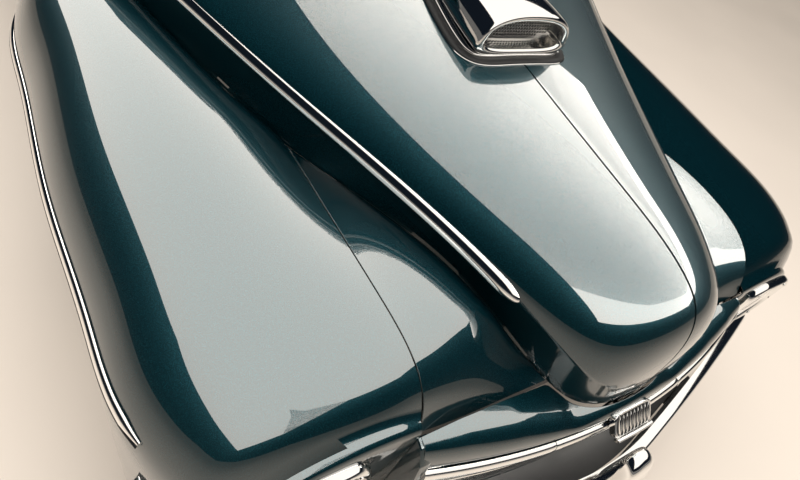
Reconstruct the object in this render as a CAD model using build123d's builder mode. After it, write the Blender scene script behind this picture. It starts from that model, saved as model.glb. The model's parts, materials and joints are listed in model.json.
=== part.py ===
"""A late-1940s two-door fastback, built as separate panels on a frame, in millimetres.

+X points forward, +Y to the car's left and +Z up. The origin is on the ground under the middle of the car.
Lengths along the car's nose are counted rearwards from the nose face, as positive numbers.
"""
import os
from math import cos, radians, sin

from build123d import *

os.makedirs("parts", exist_ok=True)

# Driving sizes of the whole car
LENGTH = 5200.0
WHEELBASE = 3050.0
NOSE_SETBACK = 150.0            # from the foremost point of the front bumper to the nose face
AXLE_SETBACK = 750.0            # from the nose face to the front axle
DOOR_SETBACK = 1500.0           # from the nose face to the door's front edge
COWL_SETBACK = 1400.0           # from the nose face to the hood's rear edge
X_FRONT = LENGTH / 2
X_TAIL = -LENGTH / 2
X_NOSE = X_FRONT - NOSE_SETBACK
X_AXLE_FRONT = X_NOSE - AXLE_SETBACK
X_AXLE_REAR = X_AXLE_FRONT - WHEELBASE
X_DOOR_FRONT = X_NOSE - DOOR_SETBACK
X_COWL = X_NOSE - COWL_SETBACK

# Wheels and tyres
TYRE_RADIUS = 360.0
TYRE_WIDTH = 170.0
RIM_RADIUS = 190.0
RIM_WIDTH = 130.0
RIM_WALL = 9.0
HUB_RADIUS = 55.0
SPINDLE_RADIUS = 20.0
BEARING_GAP = 0.5
TRACK_FRONT = 1460.0
TRACK_REAR = 1500.0
KINGPIN_Y = 680.0
KINGPIN_RADIUS = 14.0
DRUM_RADIUS = 150.0

# Panels and gaps
SKIN = 8.0
WALL = 70.0                     # whole thickness of a door, quarter or pillar, trim included
ROOF_WALL = 40.0
RAIL_SEAM = 5.0                 # between the roof's feet and the side walls
PANEL_GAP = 5.0
DOOR_GAP = 8.0
SEAM_GAP = 4.0
SEAT = 0.3                      # how far apart pieces on one body lie where they seat
GLASS = 6.0
FAR = 1100.0                    # beyond the car's side
SEAM_Y = 505.0                  # the seam between the fender and the catwalk

# Hood: setback, spear line, lower edge and height on the centreline
HOOD_ROWS = (
    # back, spear_y, spear_z, edge_y, edge_z, top_z
    (0.0, 70.0, 735.0, 60.0, 660.0, 800.0),
    (14.0, 126.0, 752.0, 108.0, 660.0, 866.0),
    (50.0, 180.0, 775.0, 154.0, 662.0, 918.0),
    (120.0, 234.0, 808.0, 199.0, 684.0, 949.0),
    (300.0, 318.0, 850.0, 283.0, 752.0, 971.0),
    (740.0, 515.0, 892.0, 500.0, 762.0, 1008.0),
    (COWL_SETBACK - PANEL_GAP, 800.0, 970.0, 775.0, 862.0, 1076.0),
)

# Front fender: setback, seam or inner edge, crown, widest line of the side, lower edge and thickness
FENDER_ROWS = (
    # back, inner_y, inner_z, crown_y, crown_z, side_y, side_z, low_z, skin
    (88.0, SEAM_Y, 690.0, 610.0, 716.0, 766.0, 612.0, 420.0, SKIN),
    (108.0, SEAM_Y, 742.0, 632.0, 769.0, 830.0, 606.0, 398.0, SKIN),
    (160.0, SEAM_Y, 784.0, 664.0, 811.0, 882.0, 612.0, 370.0, SKIN),
    (300.0, SEAM_Y, 798.0, 692.0, 842.0, 932.0, 632.0, 342.0, SKIN),
    (740.0, SEAM_Y, 757.0, 706.0, 862.0, 957.0, 646.0, 320.0, SKIN),
    (1090.0, 653.0, 811.0, 755.0, 868.0, 952.0, 640.0, 320.0, SKIN),
    (1360.0, 766.0, 853.0, 806.0, 864.0, 932.0, 610.0, 322.0, 12.0),
    (DOOR_SETBACK - PANEL_GAP, 806.0, 852.0, 816.0, 854.0, 874.0, 570.0, 330.0, 24.0),
)

# Side of the body, from the cowl to the tail: sill, widest line, belt, roof rail and wall
SIDE_ROWS = (
    # x, sill_y, sill_z, wide_y, belt_y, belt_z, rail_y, rail_z
    (X_COWL, 770.0, 330.0, 838.0, 800.0, 968.0, 728.0, 1340.0),
    (600.0, 790.0, 330.0, 856.0, 812.0, 990.0, 700.0, 1398.0),
    (-300.0, 795.0, 330.0, 864.0, 806.0, 996.0, 680.0, 1425.0),
    (-1100.0, 775.0, 330.0, 850.0, 768.0, 984.0, 622.0, 1326.0),
    (-1800.0, 705.0, 345.0, 785.0, 680.0, 930.0, 510.0, 1068.0),
    (-2374.0, 560.0, 390.0, 630.0, 510.0, 790.0, 370.0, 822.0),
)

# Roof: height of its centreline over the stations of the side
ROOF_TOPS = (1440.0, 1540.0, 1612.0, 1512.0, 1236.0, 868.0)

# Rear fender: x, inner edge, crown, widest line of the side, lower edge and thickness
REAR_FENDER_ROWS = (
    # x, inner_y, inner_z, crown_y, crown_z, side_y, side_z, low_z, skin
    (-620.0, 780.0, 690.0, 820.0, 702.0, 884.0, 520.0, 340.0, 22.0),
    (-740.0, 775.0, 782.0, 836.0, 793.0, 928.0, 520.0, 330.0, SKIN),
    (-1100.0, 755.0, 822.0, 832.0, 840.0, 955.0, 508.0, 320.0, SKIN),
    (-1500.0, 700.0, 815.0, 800.0, 838.0, 955.0, 500.0, 322.0, SKIN),
    (-2050.0, 590.0, 772.0, 712.0, 800.0, 902.0, 505.0, 345.0, SKIN),
    (-2330.0, 525.0, 705.0, 645.0, 740.0, 812.0, 530.0, 380.0, SKIN),
    (-2440.0, 505.0, 630.0, 620.0, 662.0, 735.0, 550.0, 420.0, SKIN),
)


def keep(piece, name):
    """Label one finished piece and write it as its own file."""
    piece.part.label = name
    export_step(piece.part, f"parts/{name}.step")


def mirrored(piece):
    """The same piece on the car's other side."""
    with BuildPart() as other:
        mirror(piece.part, about=Plane.XZ)
    return other


def block(x, y, z):
    """A box from three pairs of limits."""
    with BuildPart(Plane(((x[0] + x[1]) / 2, (y[0] + y[1]) / 2, (z[0] + z[1]) / 2))) as body:
        Box(x[1] - x[0], y[1] - y[0], z[1] - z[0])
    return body


def bar(start, end, radius):
    """A round bar between two points."""
    run = Vector(*end) - Vector(*start)
    with BuildPart(Plane(origin=start, z_dir=run)) as body:
        Cylinder(radius, run.length, align=(Align.CENTER, Align.CENTER, Align.MIN))
    return body


def joined(*pieces):
    """Several bodies in one piece."""
    with BuildPart() as body:
        for piece in pieces:
            add(piece.part)
    return body


def lofted(sections, ruled=False):
    """A solid through sections, smooth or with straight lines between them."""
    with BuildPart() as body:
        loft(sections, ruled=ruled)
    return body


def cut(piece, *tools):
    """A piece with other bodies taken away."""
    with BuildPart() as body:
        add(piece.part)
        for tool in tools:
            add(tool.part, mode=Mode.SUBTRACT)
    return body


def common(piece, tool):
    """What two bodies share."""
    with BuildPart() as body:
        add(piece.part)
        add(tool.part, mode=Mode.INTERSECT)
    return body


def prism_along_y(points, radius, low, high):
    """A prism from a side outline (x, z) with rounded corners, between two values of y."""
    with BuildPart() as body:
        with BuildSketch(Plane.XZ.offset(-high)) as side:
            with BuildLine():
                Polyline(*points, close=True)
            make_face()
            fillet(side.vertices(), radius)
        extrude(amount=high - low)
    return body


def prism_along_z(points, radius, low, high):
    """A prism from a plan outline (x, y) with rounded corners, between two heights."""
    with BuildPart() as body:
        with BuildSketch(Plane.XY.offset(low)) as plan:
            with BuildLine():
                Polyline(*points, close=True)
            make_face()
            fillet(plan.vertices(), radius)
        extrude(amount=high - low)
    return body


def arch(x, z, half_length, height, low, high):
    """The elliptical wheel opening of a fender, as a body to cut with."""
    with BuildPart() as body:
        with BuildSketch(Plane.XZ.offset(-high)):
            with Locations((x, z)):
                Ellipse(half_length, height)
        extrude(amount=high - low)
    return body


def ring(x, y, z, profile):
    """A body turned about an axle along Y: its profile gives (y, radius) from the wheel's middle plane."""
    with BuildPart() as body:
        with BuildSketch(Plane((x, y, z), x_dir=(0, 1, 0), z_dir=(-1, 0, 0))):
            with BuildLine():
                Polyline(*profile, close=True)
            make_face()
        revolve(axis=Axis((x, y, z), (0, 1, 0)))
    return body


def upright_plane(x, y, heading):
    """An upright plane through a vertical line: its own x axis points outwards at a heading in plan."""
    outward = (cos(radians(heading)), sin(radians(heading)), 0)
    return Plane((x, y, 0), x_dir=outward, z_dir=(outward[1], -outward[0], 0))


def bow(profile, radius, x_face, half_angle):
    """A bar bowed in plan: a side profile (x ahead of the face, z) turned about a vertical axis."""
    with BuildPart() as body:
        with BuildSketch(upright_plane(x_face - radius, 0, -half_angle)):
            with BuildLine():
                Polyline(*[(radius + x, z) for x, z in profile], close=True)
            make_face()
        revolve(axis=Axis((x_face - radius, 0, 0), (0, 0, 1)), revolution_arc=2 * half_angle)
    return body


def hood_section(row, skin):
    """Half of the hood: a quarter ellipse from the seam to the spear and a side down to the lower edge."""
    back, y, z, edge_y, edge_z, top = row
    seam = SEAM_GAP / 2
    with BuildSketch(Plane.YZ.offset(X_NOSE - back)) as section:
        with BuildLine():
            EllipticalCenterArc((seam, z), y - seam, top - z, 0, arc_size=90)
            Line((y, z), (edge_y, edge_z))
            if skin:
                Line((edge_y, edge_z), (edge_y - skin, edge_z))
                Line((edge_y - skin, edge_z), (y - skin, z))
                EllipticalCenterArc((seam, z), y - seam - skin, top - z - skin, 0, arc_size=90)
                Line((seam, top - skin), (seam, top))
            else:
                Line((edge_y, edge_z), (seam, edge_z))
                Line((seam, edge_z), (seam, top))
        make_face()
    return section.sketch


def fender_section(x, row, filled=False):
    """A fender: an arc from its inner edge to its crown, a quarter ellipse to its side, and a skirt."""
    inner_y, inner_z, crown_y, crown_z, side_y, side_z, low_z, skin = row
    tuck = 12.0
    with BuildSketch(Plane.YZ.offset(x)) as section:
        with BuildLine():
            TangentArc((crown_y, crown_z), (inner_y, inner_z), tangent=(-1, 0))
            EllipticalCenterArc((crown_y, side_z), side_y - crown_y, crown_z - side_z, 0, arc_size=90)
            Line((side_y, side_z), (side_y - tuck, low_z))
            if filled:
                Line((side_y - tuck, low_z), (inner_y, low_z))
                Line((inner_y, low_z), (inner_y, inner_z))
            else:
                Line((side_y - tuck, low_z), (side_y - tuck - skin, low_z))
                Line((side_y - tuck - skin, low_z), (side_y - skin, side_z))
                EllipticalCenterArc((crown_y, side_z), side_y - crown_y - skin, crown_z - side_z - skin, 0,
                    arc_size=90)
                TangentArc((crown_y, crown_z - skin), (inner_y, inner_z - skin), tangent=(-1, 0))
                Line((inner_y, inner_z - skin), (inner_y, inner_z))
        make_face()
    return section.sketch


def side_section(row, wall, outset=0.0, middle=False):
    """The left wall of the body from sill to belt to rail. middle fills it to the car's middle."""
    x, sill_y, sill_z, wide_y, belt_y, belt_z, rail_y, rail_z = row
    s, w, b, r = sill_y + outset, wide_y + outset, belt_y + outset, rail_y + outset
    mid_z = (sill_z + belt_z) / 2 - 20
    belt_mid = ((b + r) / 2 + 14, (belt_z + rail_z) / 2)
    with BuildSketch(Plane.YZ.offset(x)) as section:
        with BuildLine():
            ThreePointArc((s, sill_z), (w, mid_z), (b, belt_z))
            ThreePointArc((b, belt_z), belt_mid, (r, rail_z))
            if middle:
                Line((r, rail_z), (0, rail_z))
                Line((0, rail_z), (0, sill_z))
                Line((0, sill_z), (s, sill_z))
            else:
                Line((r, rail_z), (r - wall, rail_z))
                ThreePointArc((r - wall, rail_z), (belt_mid[0] - wall, belt_mid[1]), (b - wall, belt_z))
                ThreePointArc((b - wall, belt_z), (w - wall, mid_z), (s - wall, sill_z))
                Line((s - wall, sill_z), (s, sill_z))
        make_face()
    return section.sketch


def crown_section(x, half_width, low_z, top_z, wall, side_wall):
    """A crowned strip across the car: the roof, or the top of the cowl."""
    a, b = half_width, top_z - low_z
    with BuildSketch(Plane.YZ.offset(x)) as section:
        with BuildLine():
            EllipticalCenterArc((0, low_z), a, b, 0, arc_size=90)
            EllipticalCenterArc((0, low_z), a, b, 90, arc_size=90)
            Line((-a, low_z), (-a + side_wall, low_z))
            EllipticalCenterArc((0, low_z), a - side_wall, b - wall, 90, arc_size=90)
            EllipticalCenterArc((0, low_z), a - side_wall, b - wall, 0, arc_size=90)
            Line((a - side_wall, low_z), (a, low_z))
        make_face()
    return section.sketch


# Hood: two halves that meet at a narrow seam, each a skin over the engine, closed at the nose
NOSE_INSET = 4.0
cap_row = (2.0, 70.0 - NOSE_INSET, 735.0, 60.0 - NOSE_INSET, 660.0 + NOSE_INSET, 800.0 - NOSE_INSET)
nose_cap = lofted([hood_section(cap_row, 0.0), hood_section((cap_row[0] + SKIN, *cap_row[1:]), 0.0)],
    ruled=True)
hood_left = joined(lofted([hood_section(row, SKIN) for row in HOOD_ROWS], ruled=True), nose_cap)
keep(hood_left, "hood_left")
keep(mirrored(hood_left), "hood_right")

# Air scoop on the hood's centreline: a hollow mouth on a long body, with a screen inside
SCOOP_ROWS = (
    # back, width, height
    (694.0, 262.0, 104.0),
    (720.0, 266.0, 108.0),
    (860.0, 240.0, 98.0),
    (1040.0, 170.0, 70.0),
    (1180.0, 80.0, 34.0),
)
SCOOP_WALL = 13.0
SCOOP_THROAT = 850.0             # how far back the mouth stays hollow
SCREEN_BACK = 752.0
SCREEN_DEPTH = 5.0


def hood_top(back):
    """Height of the hood's centreline at a setback."""
    for (near, *_, near_top), (far, *_, far_top) in zip(HOOD_ROWS, HOOD_ROWS[1:]):
        if back <= far:
            return near_top + (far_top - near_top) * (back - near) / (far - near)
    return HOOD_ROWS[-1][-1]


def scoop_section(back, width, height, wall=0.0):
    """A rounded section of the scoop that sits on the hood."""
    with BuildSketch(Plane.YZ.offset(X_NOSE - back)) as section:
        with Locations((0, hood_top(back) + SEAT + height / 2)):
            RectangleRounded(width - 2 * wall, height - 2 * wall, (height - 2 * wall) * 0.42)
    return section.sketch


scoop_body = lofted([scoop_section(*row) for row in SCOOP_ROWS], ruled=True)
mouth = lofted([
    scoop_section(SCOOP_ROWS[0][0] - 5, 262.0, 104.0, SCOOP_WALL),
    scoop_section(SCOOP_ROWS[1][0], 262.0, 104.0, SCOOP_WALL),
    scoop_section(SCOOP_THROAT, 236.0, 94.0, SCOOP_WALL),
], ruled=True)
keep(cut(scoop_body, mouth), "hood_scoop")
screen_area = block((X_NOSE - SCREEN_BACK - SCREEN_DEPTH, X_NOSE - SCREEN_BACK), (-FAR, FAR), (900.0, 1300.0))
keep(common(mouth, screen_area), "scoop_screen")

# Body: the side walls, the roof between their rails and the windshield's planes
WINDSHIELD_RAKE = 38.0
WINDSHIELD_VEE = 12.0
WINDSHIELD_X = 1005.0
WINDSHIELD_Z = 1060.0
FIREWALL = 30.0
GEARBOX_PASS = (125.0, 468.0)     # half width and height of the firewall's notch
RAIL_TOP = 310.0
FLOOR_Z = RAIL_TOP + SEAT


def windshield_plane(side, behind=0.0):
    """The plane of one windshield pane, its normal pointing forward and up. side is 1 for the left pane."""
    lean, sweep = radians(WINDSHIELD_RAKE), radians(WINDSHIELD_VEE) * side
    normal = Vector(cos(lean) * cos(sweep), cos(lean) * sin(sweep), sin(lean))
    along = Vector(-sin(sweep), cos(sweep), 0)
    origin = Vector(WINDSHIELD_X, 0, WINDSHIELD_Z) - normal * behind
    return Plane(origin=origin, x_dir=along, z_dir=normal)


def behind_windshield(piece):
    """What lies behind both planes of the windshield."""
    with BuildPart() as body:
        add(piece.part)
        for side in (1, -1):
            split(bisect_by=windshield_plane(side), keep=Keep.BOTTOM)
    return body


DOOR_REAR = -300.0
SILL_TOP = 400.0
DOOR_TOP = 1386.0
DOOR_SHOULDER = 956.0            # where the door's front edge meets the belt
PILLAR_FOOT = 800.0             # where the door's upper front edge starts up the pillar
PILLAR_HEAD = 490.0
BELT_CUT = 963.5                # the cowl's top at its sides
DOOR_OUTLINE = (
    (X_DOOR_FRONT, SILL_TOP), (X_DOOR_FRONT, DOOR_SHOULDER), (PILLAR_FOOT, DOOR_SHOULDER), (PILLAR_HEAD,
        DOOR_TOP),
    (DOOR_REAR + 36, DOOR_TOP), (DOOR_REAR, 985.0), (DOOR_REAR, SILL_TOP),
)
OPENING_OUTLINE = (
    (X_DOOR_FRONT + DOOR_GAP, SILL_TOP - DOOR_GAP), (X_DOOR_FRONT + DOOR_GAP, DOOR_SHOULDER + DOOR_GAP),
    (PILLAR_FOOT + 5, DOOR_SHOULDER + DOOR_GAP), (PILLAR_HEAD + 5, DOOR_TOP + DOOR_GAP),
    (DOOR_REAR + 36 - DOOR_GAP, DOOR_TOP + DOOR_GAP), (DOOR_REAR - DOOR_GAP, 985.0), (DOOR_REAR - DOOR_GAP,
        SILL_TOP - DOOR_GAP),
)
DOOR_WINDOW = ((692.0, 1035.0), (470.0, 1339.0), (-215.0, 1339.0), (-235.0, 1035.0))
QUARTER_WINDOW = ((-360.0, 1035.0), (-350.0, 1330.0), (-640.0, 1300.0), (-900.0, 1140.0), (-900.0, 1035.0))
REAR_WINDOW = ((-1330.0, 370.0), (-1330.0, -370.0), (-1700.0, -330.0), (-1700.0, 330.0))
LID = ((-1850.0, 380.0), (-1850.0, -380.0), (-2350.0, -270.0), (-2350.0, 270.0))
LID_OPENING = ((-1842.0, 388.0), (-1842.0, -388.0), (-2358.0, -278.0), (-2358.0, 278.0))
WHEELHOUSE_RADIUS = 410.0

side_wall = lofted([side_section(row, WALL) for row in SIDE_ROWS])
opening_tool = prism_along_y(OPENING_OUTLINE, 30.0, 300.0, FAR)
door_window_tool = prism_along_y(DOOR_WINDOW, 34.0, 300.0, FAR)
quarter_window_tool = prism_along_y(QUARTER_WINDOW, 34.0, 300.0, FAR)
door_left = cut(common(side_wall, prism_along_y(DOOR_OUTLINE, 26.0, 300.0, FAR)), door_window_tool)
keep(door_left, "door_left")
keep(mirrored(door_left), "door_right")

rocker_tool = block((DOOR_REAR - DOOR_GAP / 2, X_DOOR_FRONT + DOOR_GAP / 2), (300.0, FAR),
    (250.0, SILL_TOP - DOOR_GAP + 1.0))
rocker_left = common(side_wall, rocker_tool)
keep(joined(rocker_left, mirrored(rocker_left)), "rockers")
with BuildPart() as wheelhouse:
    with BuildSketch(Plane.XZ.offset(-FAR)):
        with Locations((X_AXLE_REAR, TYRE_RADIUS)):
            Circle(WHEELHOUSE_RADIUS)
    extrude(amount=FAR - 630.0)

# Roof and cowl top, between the side walls
roof_strip = lofted([
    crown_section(row[0], row[6] - SEAT, row[7] + RAIL_SEAM, top, ROOF_WALL, WALL - 2 * SEAT)
    for row, top in zip(SIDE_ROWS, ROOF_TOPS)
])
rear_window_tool = prism_along_z(REAR_WINDOW, 60.0, 1000.0, 1700.0)
lid_opening_tool = prism_along_z(LID_OPENING, 55.0, 700.0, 1500.0)
trunk_lid = common(roof_strip, prism_along_z(LID, 50.0, 700.0, 1500.0))
keep(trunk_lid, "trunk_lid")
roof_panel = cut(behind_windshield(roof_strip), rear_window_tool, lid_opening_tool)


def pane(side, grow, depth, behind):
    """One windshield pane's outline on its plane, as a plate of some depth."""
    with BuildPart() as body:
        with BuildSketch(windshield_plane(side, behind)) as outline:
            with BuildLine():
                Polyline(*[(u * side, v) for u, v in (
                    (24 - grow, 40 - grow), (712 + grow, 40 - grow), (636 + grow, 470 + grow), (24 - grow,
                        492 + grow))],
                    close=True)
            make_face()
            fillet(outline.vertices(), 22)
        extrude(amount=-depth)
    return body


windshield_holes = [pane(side, 0.0, 260.0, -60.0) for side in (1, -1)]
roof_panel = cut(roof_panel, *windshield_holes)
keep(roof_panel, "roof_panel")

air = block((300.0, 1200.0), (0.0, FAR), (BELT_CUT, 1700.0))
air_ahead = cut(air, behind_windshield(air))
fixed_side = cut(side_wall, air_ahead, opening_tool, quarter_window_tool, wheelhouse, rocker_tool,
    windshield_holes[0])
side_pieces = fixed_side.part.solids().sort_by(Axis.X)
with BuildPart() as body_side_left:
    add(side_pieces[0])
body_side_right = mirrored(body_side_left)
keep(joined(body_side_left, body_side_right), "body_sides")

cowl_row = SIDE_ROWS[0]
COWL_REAR = 800.0
COWL_TOP_Z = 1078.0
cowl_top = lofted([
    crown_section(X_COWL, cowl_row[4] - 20, cowl_row[5], COWL_TOP_Z, 30.0, 40.0),
    crown_section(COWL_REAR, cowl_row[4] - 20, cowl_row[5], COWL_TOP_Z + 4, 30.0, 40.0),
], ruled=True)
firewall = cut(
    block((X_COWL - FIREWALL, X_COWL), (-780.0, 780.0), (FLOOR_Z, 972.0)),
    block((X_COWL - 2 * FIREWALL, X_COWL + FIREWALL), (-GEARBOX_PASS[0], GEARBOX_PASS[0]),
        (0.0, GEARBOX_PASS[1])),
)
with BuildPart() as cowl_side:
    add(side_pieces[-1])
cowl_base = joined(cowl_side, mirrored(cowl_side), cowl_top, firewall)
windshield_glass = joined(*[pane(side, -SEAT, GLASS, 14.0) for side in (1, -1)])
keep(cut(cowl_base, body_side_left, body_side_right, windshield_glass), "cowl")

tail_row = SIDE_ROWS[-1]


def tail_section(x, shrink):
    """The whole outline of the body's tail, drawn in by some amount."""
    _, sill_y, sill_z, wide_y, belt_y, belt_z, rail_y, rail_z = tail_row
    mid_z = (sill_z + belt_z) / 2 - 20
    low, top = sill_z + shrink, ROOF_TOPS[-1] - shrink
    with BuildSketch(Plane.YZ.offset(x)) as section:
        with BuildLine():
            ThreePointArc((sill_y - shrink, low), (wide_y - shrink, mid_z),
                (belt_y - shrink, belt_z - shrink))
            Line((belt_y - shrink, belt_z - shrink), (rail_y - shrink, rail_z - shrink))
            ThreePointArc((rail_y - shrink, rail_z - shrink), (0, top), (shrink - rail_y, rail_z - shrink))
            Line((shrink - rail_y, rail_z - shrink), (shrink - belt_y, belt_z - shrink))
            ThreePointArc((shrink - belt_y, belt_z - shrink), (shrink - wide_y, mid_z),
                (shrink - sill_y, low))
            Line((shrink - sill_y, low), (sill_y - shrink, low))
        make_face()
    return section.sketch


TAIL_X = tail_row[0]
TAIL_FACE = TAIL_X - 66.0
PLATE_HOLES = (178.0, 121.0)
PLATE_HOLE_RADIUS = 3.5
PLATE_Z = 600.0
tail_body = lofted([tail_section(TAIL_X - SEAT, 0.0), tail_section(TAIL_X - 40, 22.0),
    tail_section(TAIL_FACE, 70.0)], ruled=True)
with BuildPart() as tail_panel:
    add(tail_body.part)
    with Locations(Plane((TAIL_FACE, 0, PLATE_Z), x_dir=(0, -1, 0), z_dir=(-1, 0, 0))):
        with GridLocations(PLATE_HOLES[0], PLATE_HOLES[1], 2, 2):
            Hole(PLATE_HOLE_RADIUS, depth=25)
keep(tail_panel, "tail_panel")

# Glass in the side walls and the roof: thin layers that follow their outer surfaces
GLASS_DEPTH = 20.0
side_layer = lofted([side_section(row, GLASS, -GLASS_DEPTH) for row in SIDE_ROWS])
door_glass = common(side_layer, prism_along_y(DOOR_WINDOW, 34.0, 300.0, FAR))
keep(door_glass, "door_glass_left")
keep(mirrored(door_glass), "door_glass_right")
quarter_glass = common(side_layer, quarter_window_tool)
roof_layer = lofted([
    crown_section(row[0], row[6] - SEAT - GLASS_DEPTH, row[7], top - GLASS_DEPTH, GLASS, GLASS)
    for row, top in zip(SIDE_ROWS, ROOF_TOPS)
])
rear_glass = common(roof_layer, rear_window_tool)
keep(joined(quarter_glass, mirrored(quarter_glass), rear_glass, windshield_glass), "fixed_glass")

# Fenders, each a skin closed at its front, its inner edge seated on the body
BODY_GAP = 0.6                   # between the body and the fenders' seated edges
body_core = lofted([side_section(row, WALL, BODY_GAP, middle=True) for row in SIDE_ROWS])
tail_core = lofted([
    tail_section(TAIL_X + 1, -BODY_GAP), tail_section(TAIL_X - 40, 22.0 - BODY_GAP),
    tail_section(TAIL_FACE - 1, 70.0 - BODY_GAP),
], ruled=True)
FENDER_INSET = 3.0


def fender_cap(x, row, step):
    """The plate that closes a fender's end, a little inside its skin."""
    inner_y, inner_z, crown_y, crown_z, side_y, side_z, low_z, skin = row
    inside = (inner_y, inner_z - FENDER_INSET, crown_y, crown_z - FENDER_INSET, side_y - FENDER_INSET,
        side_z, low_z, skin)
    return lofted([fender_section(x, inside, filled=True), fender_section(x + step, inside, filled=True)],
        ruled=True)


LAMP_Y, LAMP_Z, LAMP_SIZE, LAMP_CORNER = 690.0, 603.0, 196.0, 52.0
LENS_RADIUS = 84.0
with BuildPart() as lamp_hole:
    with BuildSketch(Plane.YZ.offset(X_NOSE - 200)):
        with Locations((LAMP_Y, LAMP_Z)):
            RectangleRounded(LAMP_SIZE + 2 * SEAT, LAMP_SIZE + 2 * SEAT, LAMP_CORNER)
    extrude(amount=200)
front_opening = arch(X_AXLE_FRONT, 345.0, 425.0, 300.0, 850.0, FAR)
front_skin = lofted([fender_section(X_NOSE - row[0], row[1:]) for row in FENDER_ROWS], ruled=True)
front_cap = fender_cap(X_NOSE - FENDER_ROWS[0][0] - 1, FENDER_ROWS[0][1:], -SKIN)
front_fender = cut(joined(front_skin, front_cap), front_opening, lamp_hole, body_core)
keep(joined(front_fender, mirrored(front_fender)), "front_fenders")
rear_opening = arch(X_AXLE_REAR, 330.0, 405.0, 255.0, 850.0, FAR)
rear_skin = lofted([fender_section(row[0], row[1:]) for row in REAR_FENDER_ROWS], ruled=True)
rear_cap = fender_cap(REAR_FENDER_ROWS[-1][0] + 1, REAR_FENDER_ROWS[-1][1:], SKIN)
rear_fender = cut(joined(rear_skin, rear_cap), rear_opening, body_core, tail_core)
keep(joined(rear_fender, mirrored(rear_fender)), "rear_fenders")

# Catwalk: the skin between the hood's lower edge and the fender's seam
CATWALK_ROWS = (
    # back, hood_y, hood_z, seam_z
    (90.0, 196.0, 672.0, 695.0),
    (108.0, 203.0, 684.0, 742.0),
    (160.0, 224.0, 704.0, 784.0),
    (300.0, 286.0, 740.0, 798.0),
    (500.0, 386.0, 752.0, 779.5),
    (720.0, 494.0, 754.0, 759.0),
)


def catwalk_section(row):
    """A strip from the hood's lower edge to the seam, hollowed a little between them."""
    back, hood_y, hood_z, seam_z = row
    y, end = hood_y + PANEL_GAP, SEAM_Y - SEAM_GAP / 2
    mid_y, mid_z = (y + end) / 2, (hood_z + seam_z) / 2 + 1.0
    with BuildSketch(Plane.YZ.offset(X_NOSE - back)) as section:
        with BuildLine():
            ThreePointArc((y, hood_z), (mid_y, mid_z), (end, seam_z))
            Line((end, seam_z), (end, seam_z - SKIN))
            ThreePointArc((end, seam_z - SKIN), (mid_y, mid_z - SKIN), (y, hood_z - SKIN))
            Line((y, hood_z - SKIN), (y, hood_z))
        make_face()
    return section.sketch


catwalk = lofted([catwalk_section(row) for row in CATWALK_ROWS], ruled=True)
keep(joined(catwalk, mirrored(catwalk)), "catwalks")

# Front: fascia, grille, lamps
BAR_RADIUS = 1760.0
BAR_FACE = X_NOSE + 35.0
BAR_ANGLE = 16.3
GRILLE_BARS = (
    # height of the middle, setback, depth of the bar's face
    (600.0, 0.0, 36.0), (552.0, -10.0, 22.0), (510.0, -16.0, 22.0), (468.0, -22.0, 22.0), (424.0, -26.0,
        28.0),
)
POST_YS = (-430.0, -215.0, 0.0, 215.0, 430.0)
bars = []
for bar_z, setback, bar_height in GRILLE_BARS:
    low, high = bar_z - bar_height / 2, bar_z + bar_height / 2
    profile = ((setback - 26, low + 4), (setback - 26, high - 4), (setback - 8, high),
        (setback, bar_z + bar_height / 5),
               (setback, bar_z - bar_height / 5), (setback - 8, low))
    bars.append(bow(profile, BAR_RADIUS, BAR_FACE, BAR_ANGLE))
for post_y in POST_YS:
    post_x = BAR_FACE - BAR_RADIUS + (BAR_RADIUS**2 - post_y**2) ** 0.5 - 52
    bars.append(block((post_x - 8, post_x + 30), (post_y - 9, post_y + 9), (413.0, 612.0)))
with BuildPart() as centre_piece:
    with BuildSketch(Plane.YZ.offset(BAR_FACE - 4)):
        with Locations((0, 628)):
            RectangleRounded(124, 54, 12)
    extrude(amount=14)
keep(joined(*bars, centre_piece), "grille")
RAIL_Y = (400.0, 470.0)
RAIL_FRONT, RAIL_REAR = 2290.0, -2330.0
ARM_Z = (350.0, 390.0)
FASCIA_Z = GRILLE_BARS[0][0] + GRILLE_BARS[0][2] / 2 + SEAT
VALANCE_TOP = GRILLE_BARS[-1][0] - GRILLE_BARS[-1][2] / 2 - SEAT
FASCIA_PROFILE = ((-88, FASCIA_Z), (-88, 648), (-26, 646), (-12, 638), (-12, FASCIA_Z))
VALANCE_PROFILE = ((-60, 330), (-60, VALANCE_TOP), (-34, VALANCE_TOP), (-20, 396), (-34, 345), (-46, 330))
fascia = bow(FASCIA_PROFILE, BAR_RADIUS, BAR_FACE, BAR_ANGLE)
valance = bow(VALANCE_PROFILE, BAR_RADIUS, BAR_FACE, BAR_ANGLE)
stays, arm_holes = [], []
for side in (1, -1):
    across = sorted((RAIL_Y[0] * side, RAIL_Y[1] * side))
    stays.append(block((RAIL_FRONT + SEAT, RAIL_FRONT + 110), across, (305.0, ARM_Z[0] - 5)))
    arm_holes.append(block((RAIL_FRONT, X_FRONT), (across[0] - 5, across[1] + 5),
        (ARM_Z[0] - 5, ARM_Z[1] + 5)))
keep(cut(joined(fascia, valance, *stays), *arm_holes), "nose_panels")

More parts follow.
